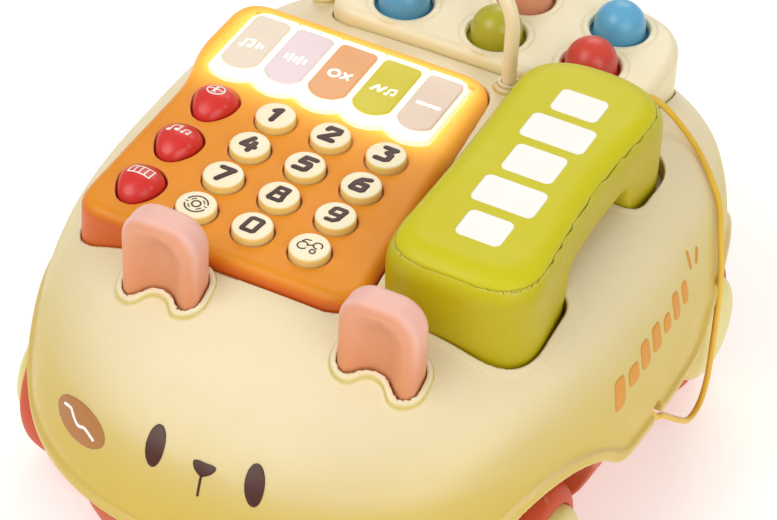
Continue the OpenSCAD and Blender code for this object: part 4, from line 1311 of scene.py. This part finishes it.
wheel_profile = rounded_profile([
    (2.5, 61), (6.5, 61, .4), (6.5, 85.5, .6), (25.6, 85.5, .8), (26.6, 80, 1), (27.2, 59, .6),
    (28.4, 58, .5), (29.4, 58.6, .6), (30, 62, 1.2), (29.9, 70, 1), (29.2, 79, 3), (28.2, 86, 3),
    (26.6, 90.4, 2), (24.2, 93, 1.6), (21.6, 94.2, 1.2), (20.2, 94.2, .5), (20.2, 91, .4),
    (2.5, 91)], 5)
cap_profile = rounded_profile([
    (0, 98.6), (9, 98.2, 3), (14.4, 96.6, 2), (17.3, 94, 1.2), (17.3, 91, .3), (19.9, 91, .3),
    (19.9, 94.6, 1.4), (19, 96.8, 1.4), (16.6, 99, 2), (12.4, 100.6, 3), (7, 101.4, 2),
    (0, 101.6)], 6)
# finer steps along the running face so that the grooves have somewhere to go
tyre_profile = []
for a, b in zip(wheel_profile[:-1], wheel_profile[1:]):
    steps = 5 if a[0] > TREAD_R and b[0] > TREAD_R and abs(b[1] - a[1]) > 2 else 1
    tyre_profile += [a + (b - a) * j / steps for j in range(steps)]
tyre_profile.append(wheel_profile[-1])
for end_name, axle in (("front", FRONT_Y), ("rear", REAR_Y)):
    for side_name, sign in (("left", -1), ("right", 1)):
        name = "wheel_%s_%s" % (end_name, side_name)
        turned = dict(centre=(0, axle, AXLE_Z), axis="x", flip=sign)
        lathe(name + "_skin", tyre_profile, wheel_orange, sides=216, ripple=tread, node=name,
              **turned)
        cap = lathe("hub_cap_%s_%s" % (end_name, side_name), cap_profile, cap_cream, sides=128,
                    body="%s_wheels" % end_name, slot="cap_cream", **turned)
        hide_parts("hub_caps_" + end_name)

# --- cord: from the rear end of the handset, down the right flank, into the shell -------

CORD = [
    (62, 51, 113), (62, 57, 113), (62, 61.8, 113), (61.5, 65.5, 114.8), (61.4, 69.8, 116.6),
    (63, 74, 116), (69.5, 78, 108.4), (80.2, 73.8, 102.7), (89.3, 66.5, 98.6), (95.9, 61.6, 91.2),
    (100.7, 54, 82.5), (103.9, 49.4, 71), (104.6, 48.6, 56), (104.4, 49.2, 36.7),
    (104.4, 48.2, 23.7), (104.4, 43.4, 16.2), (104.4, 33.4, 17), (104.4, 19.8, 28.7),
    (104.4, 5.5, 42.6), (104.4, -0.4, 46.8), (104, -3.4, 50.2), (102.8, -4.9, 53),
    (100.8, -5.2, 54.4), (98.5, -5.2, 54.6), (96.5, -5.2, 54.6)]
cord = sweep("cord_skin", spline(CORD, 12), 1.1, cord_yellow, 16, node="handset_cord", rides=False)
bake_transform(cord)

# --- floor, lights and camera, in metres ------------------------------------------


def floor_paper():
    "pale paper, clear when seen from below so that the underside shows"
    g = Shader("floor_paper")
    patches = g.ramp(g.noise(6, 2), .3, .7, 0, .25)
    paper = g.add("BsdfPrincipled", {
        "Roughness": 0.85,
        "Base Color": g.mix(patches, (0.90, 0.90, 0.895), (0.87, 0.87, 0.865)),
        "Emission Color": (1.0, 0.995, 0.985), "Emission Strength": 0.34})
    clear = g.add("BsdfTransparent")
    return g.finish(g.add("MixShader", {
        0: g.geometry("Backfacing"), 1: paper.outputs[0], 2: clear.outputs[0]}))


floor_mesh = bpy.data.meshes.new("floor")
floor_mesh.from_pydata([(-6, -6, 0), (6, -6, 0), (6, 6, 0), (-6, 6, 0)], [], [(0, 1, 2, 3)])
floor = add_object("floor", floor_mesh)
floor_mesh.materials.append(floor_paper())


def area_light(name, spot, target, size, power, colour):
    light = bpy.data.lights.new(name, "AREA")
    light.energy, light.size, light.color = power, size, colour
    obj = add_object(name, light)
    obj.location = spot
    aim = Vector(target) - Vector(spot)
    obj.rotation_euler = aim.to_track_quat("-Z", "Y").to_euler()


area_light("key", spot=(-0.55, -0.75, 1.25), target=(0, 0, .08), size=0.9, power=8.6,
           colour=(1, .985, .95))
area_light("fill", spot=(1.1, -0.7, 0.8), target=(0, 0, .08), size=1.0, power=7.4,
           colour=(1, .98, .94))
area_light("back", spot=(-0.3, 1.2, 1.0), target=(0, 0, .1), size=0.9, power=5.2,
           colour=(1, .97, .9))

scene = bpy.context.scene
scene.world = bpy.data.worlds.new("studio")
scene.world.use_nodes = True
background = scene.world.node_tree.nodes["Background"].inputs
background["Color"].default_value = (1.0, 0.985, 0.96, 1)
background["Strength"].default_value = 0.5
scene.view_settings.view_transform = "Standard"

lens = bpy.data.cameras.new("camera")
camera = add_object("camera", lens)
lens.sensor_width, lens.lens = 36, 148.26
lens.clip_start, lens.clip_end = 0.05, 20
right = Vector((0.88692, 0.46055, 0.03566)).normalized()
up = Vector((-0.32846, 0.57449, 0.74971))
up = (up - up.dot(right) * right).normalized()
camera.matrix_world = Matrix((right, up, right.cross(up))).transposed().to_4x4()
camera.location = (0.35661, -0.73984, 0.79434)
scene.camera = camera
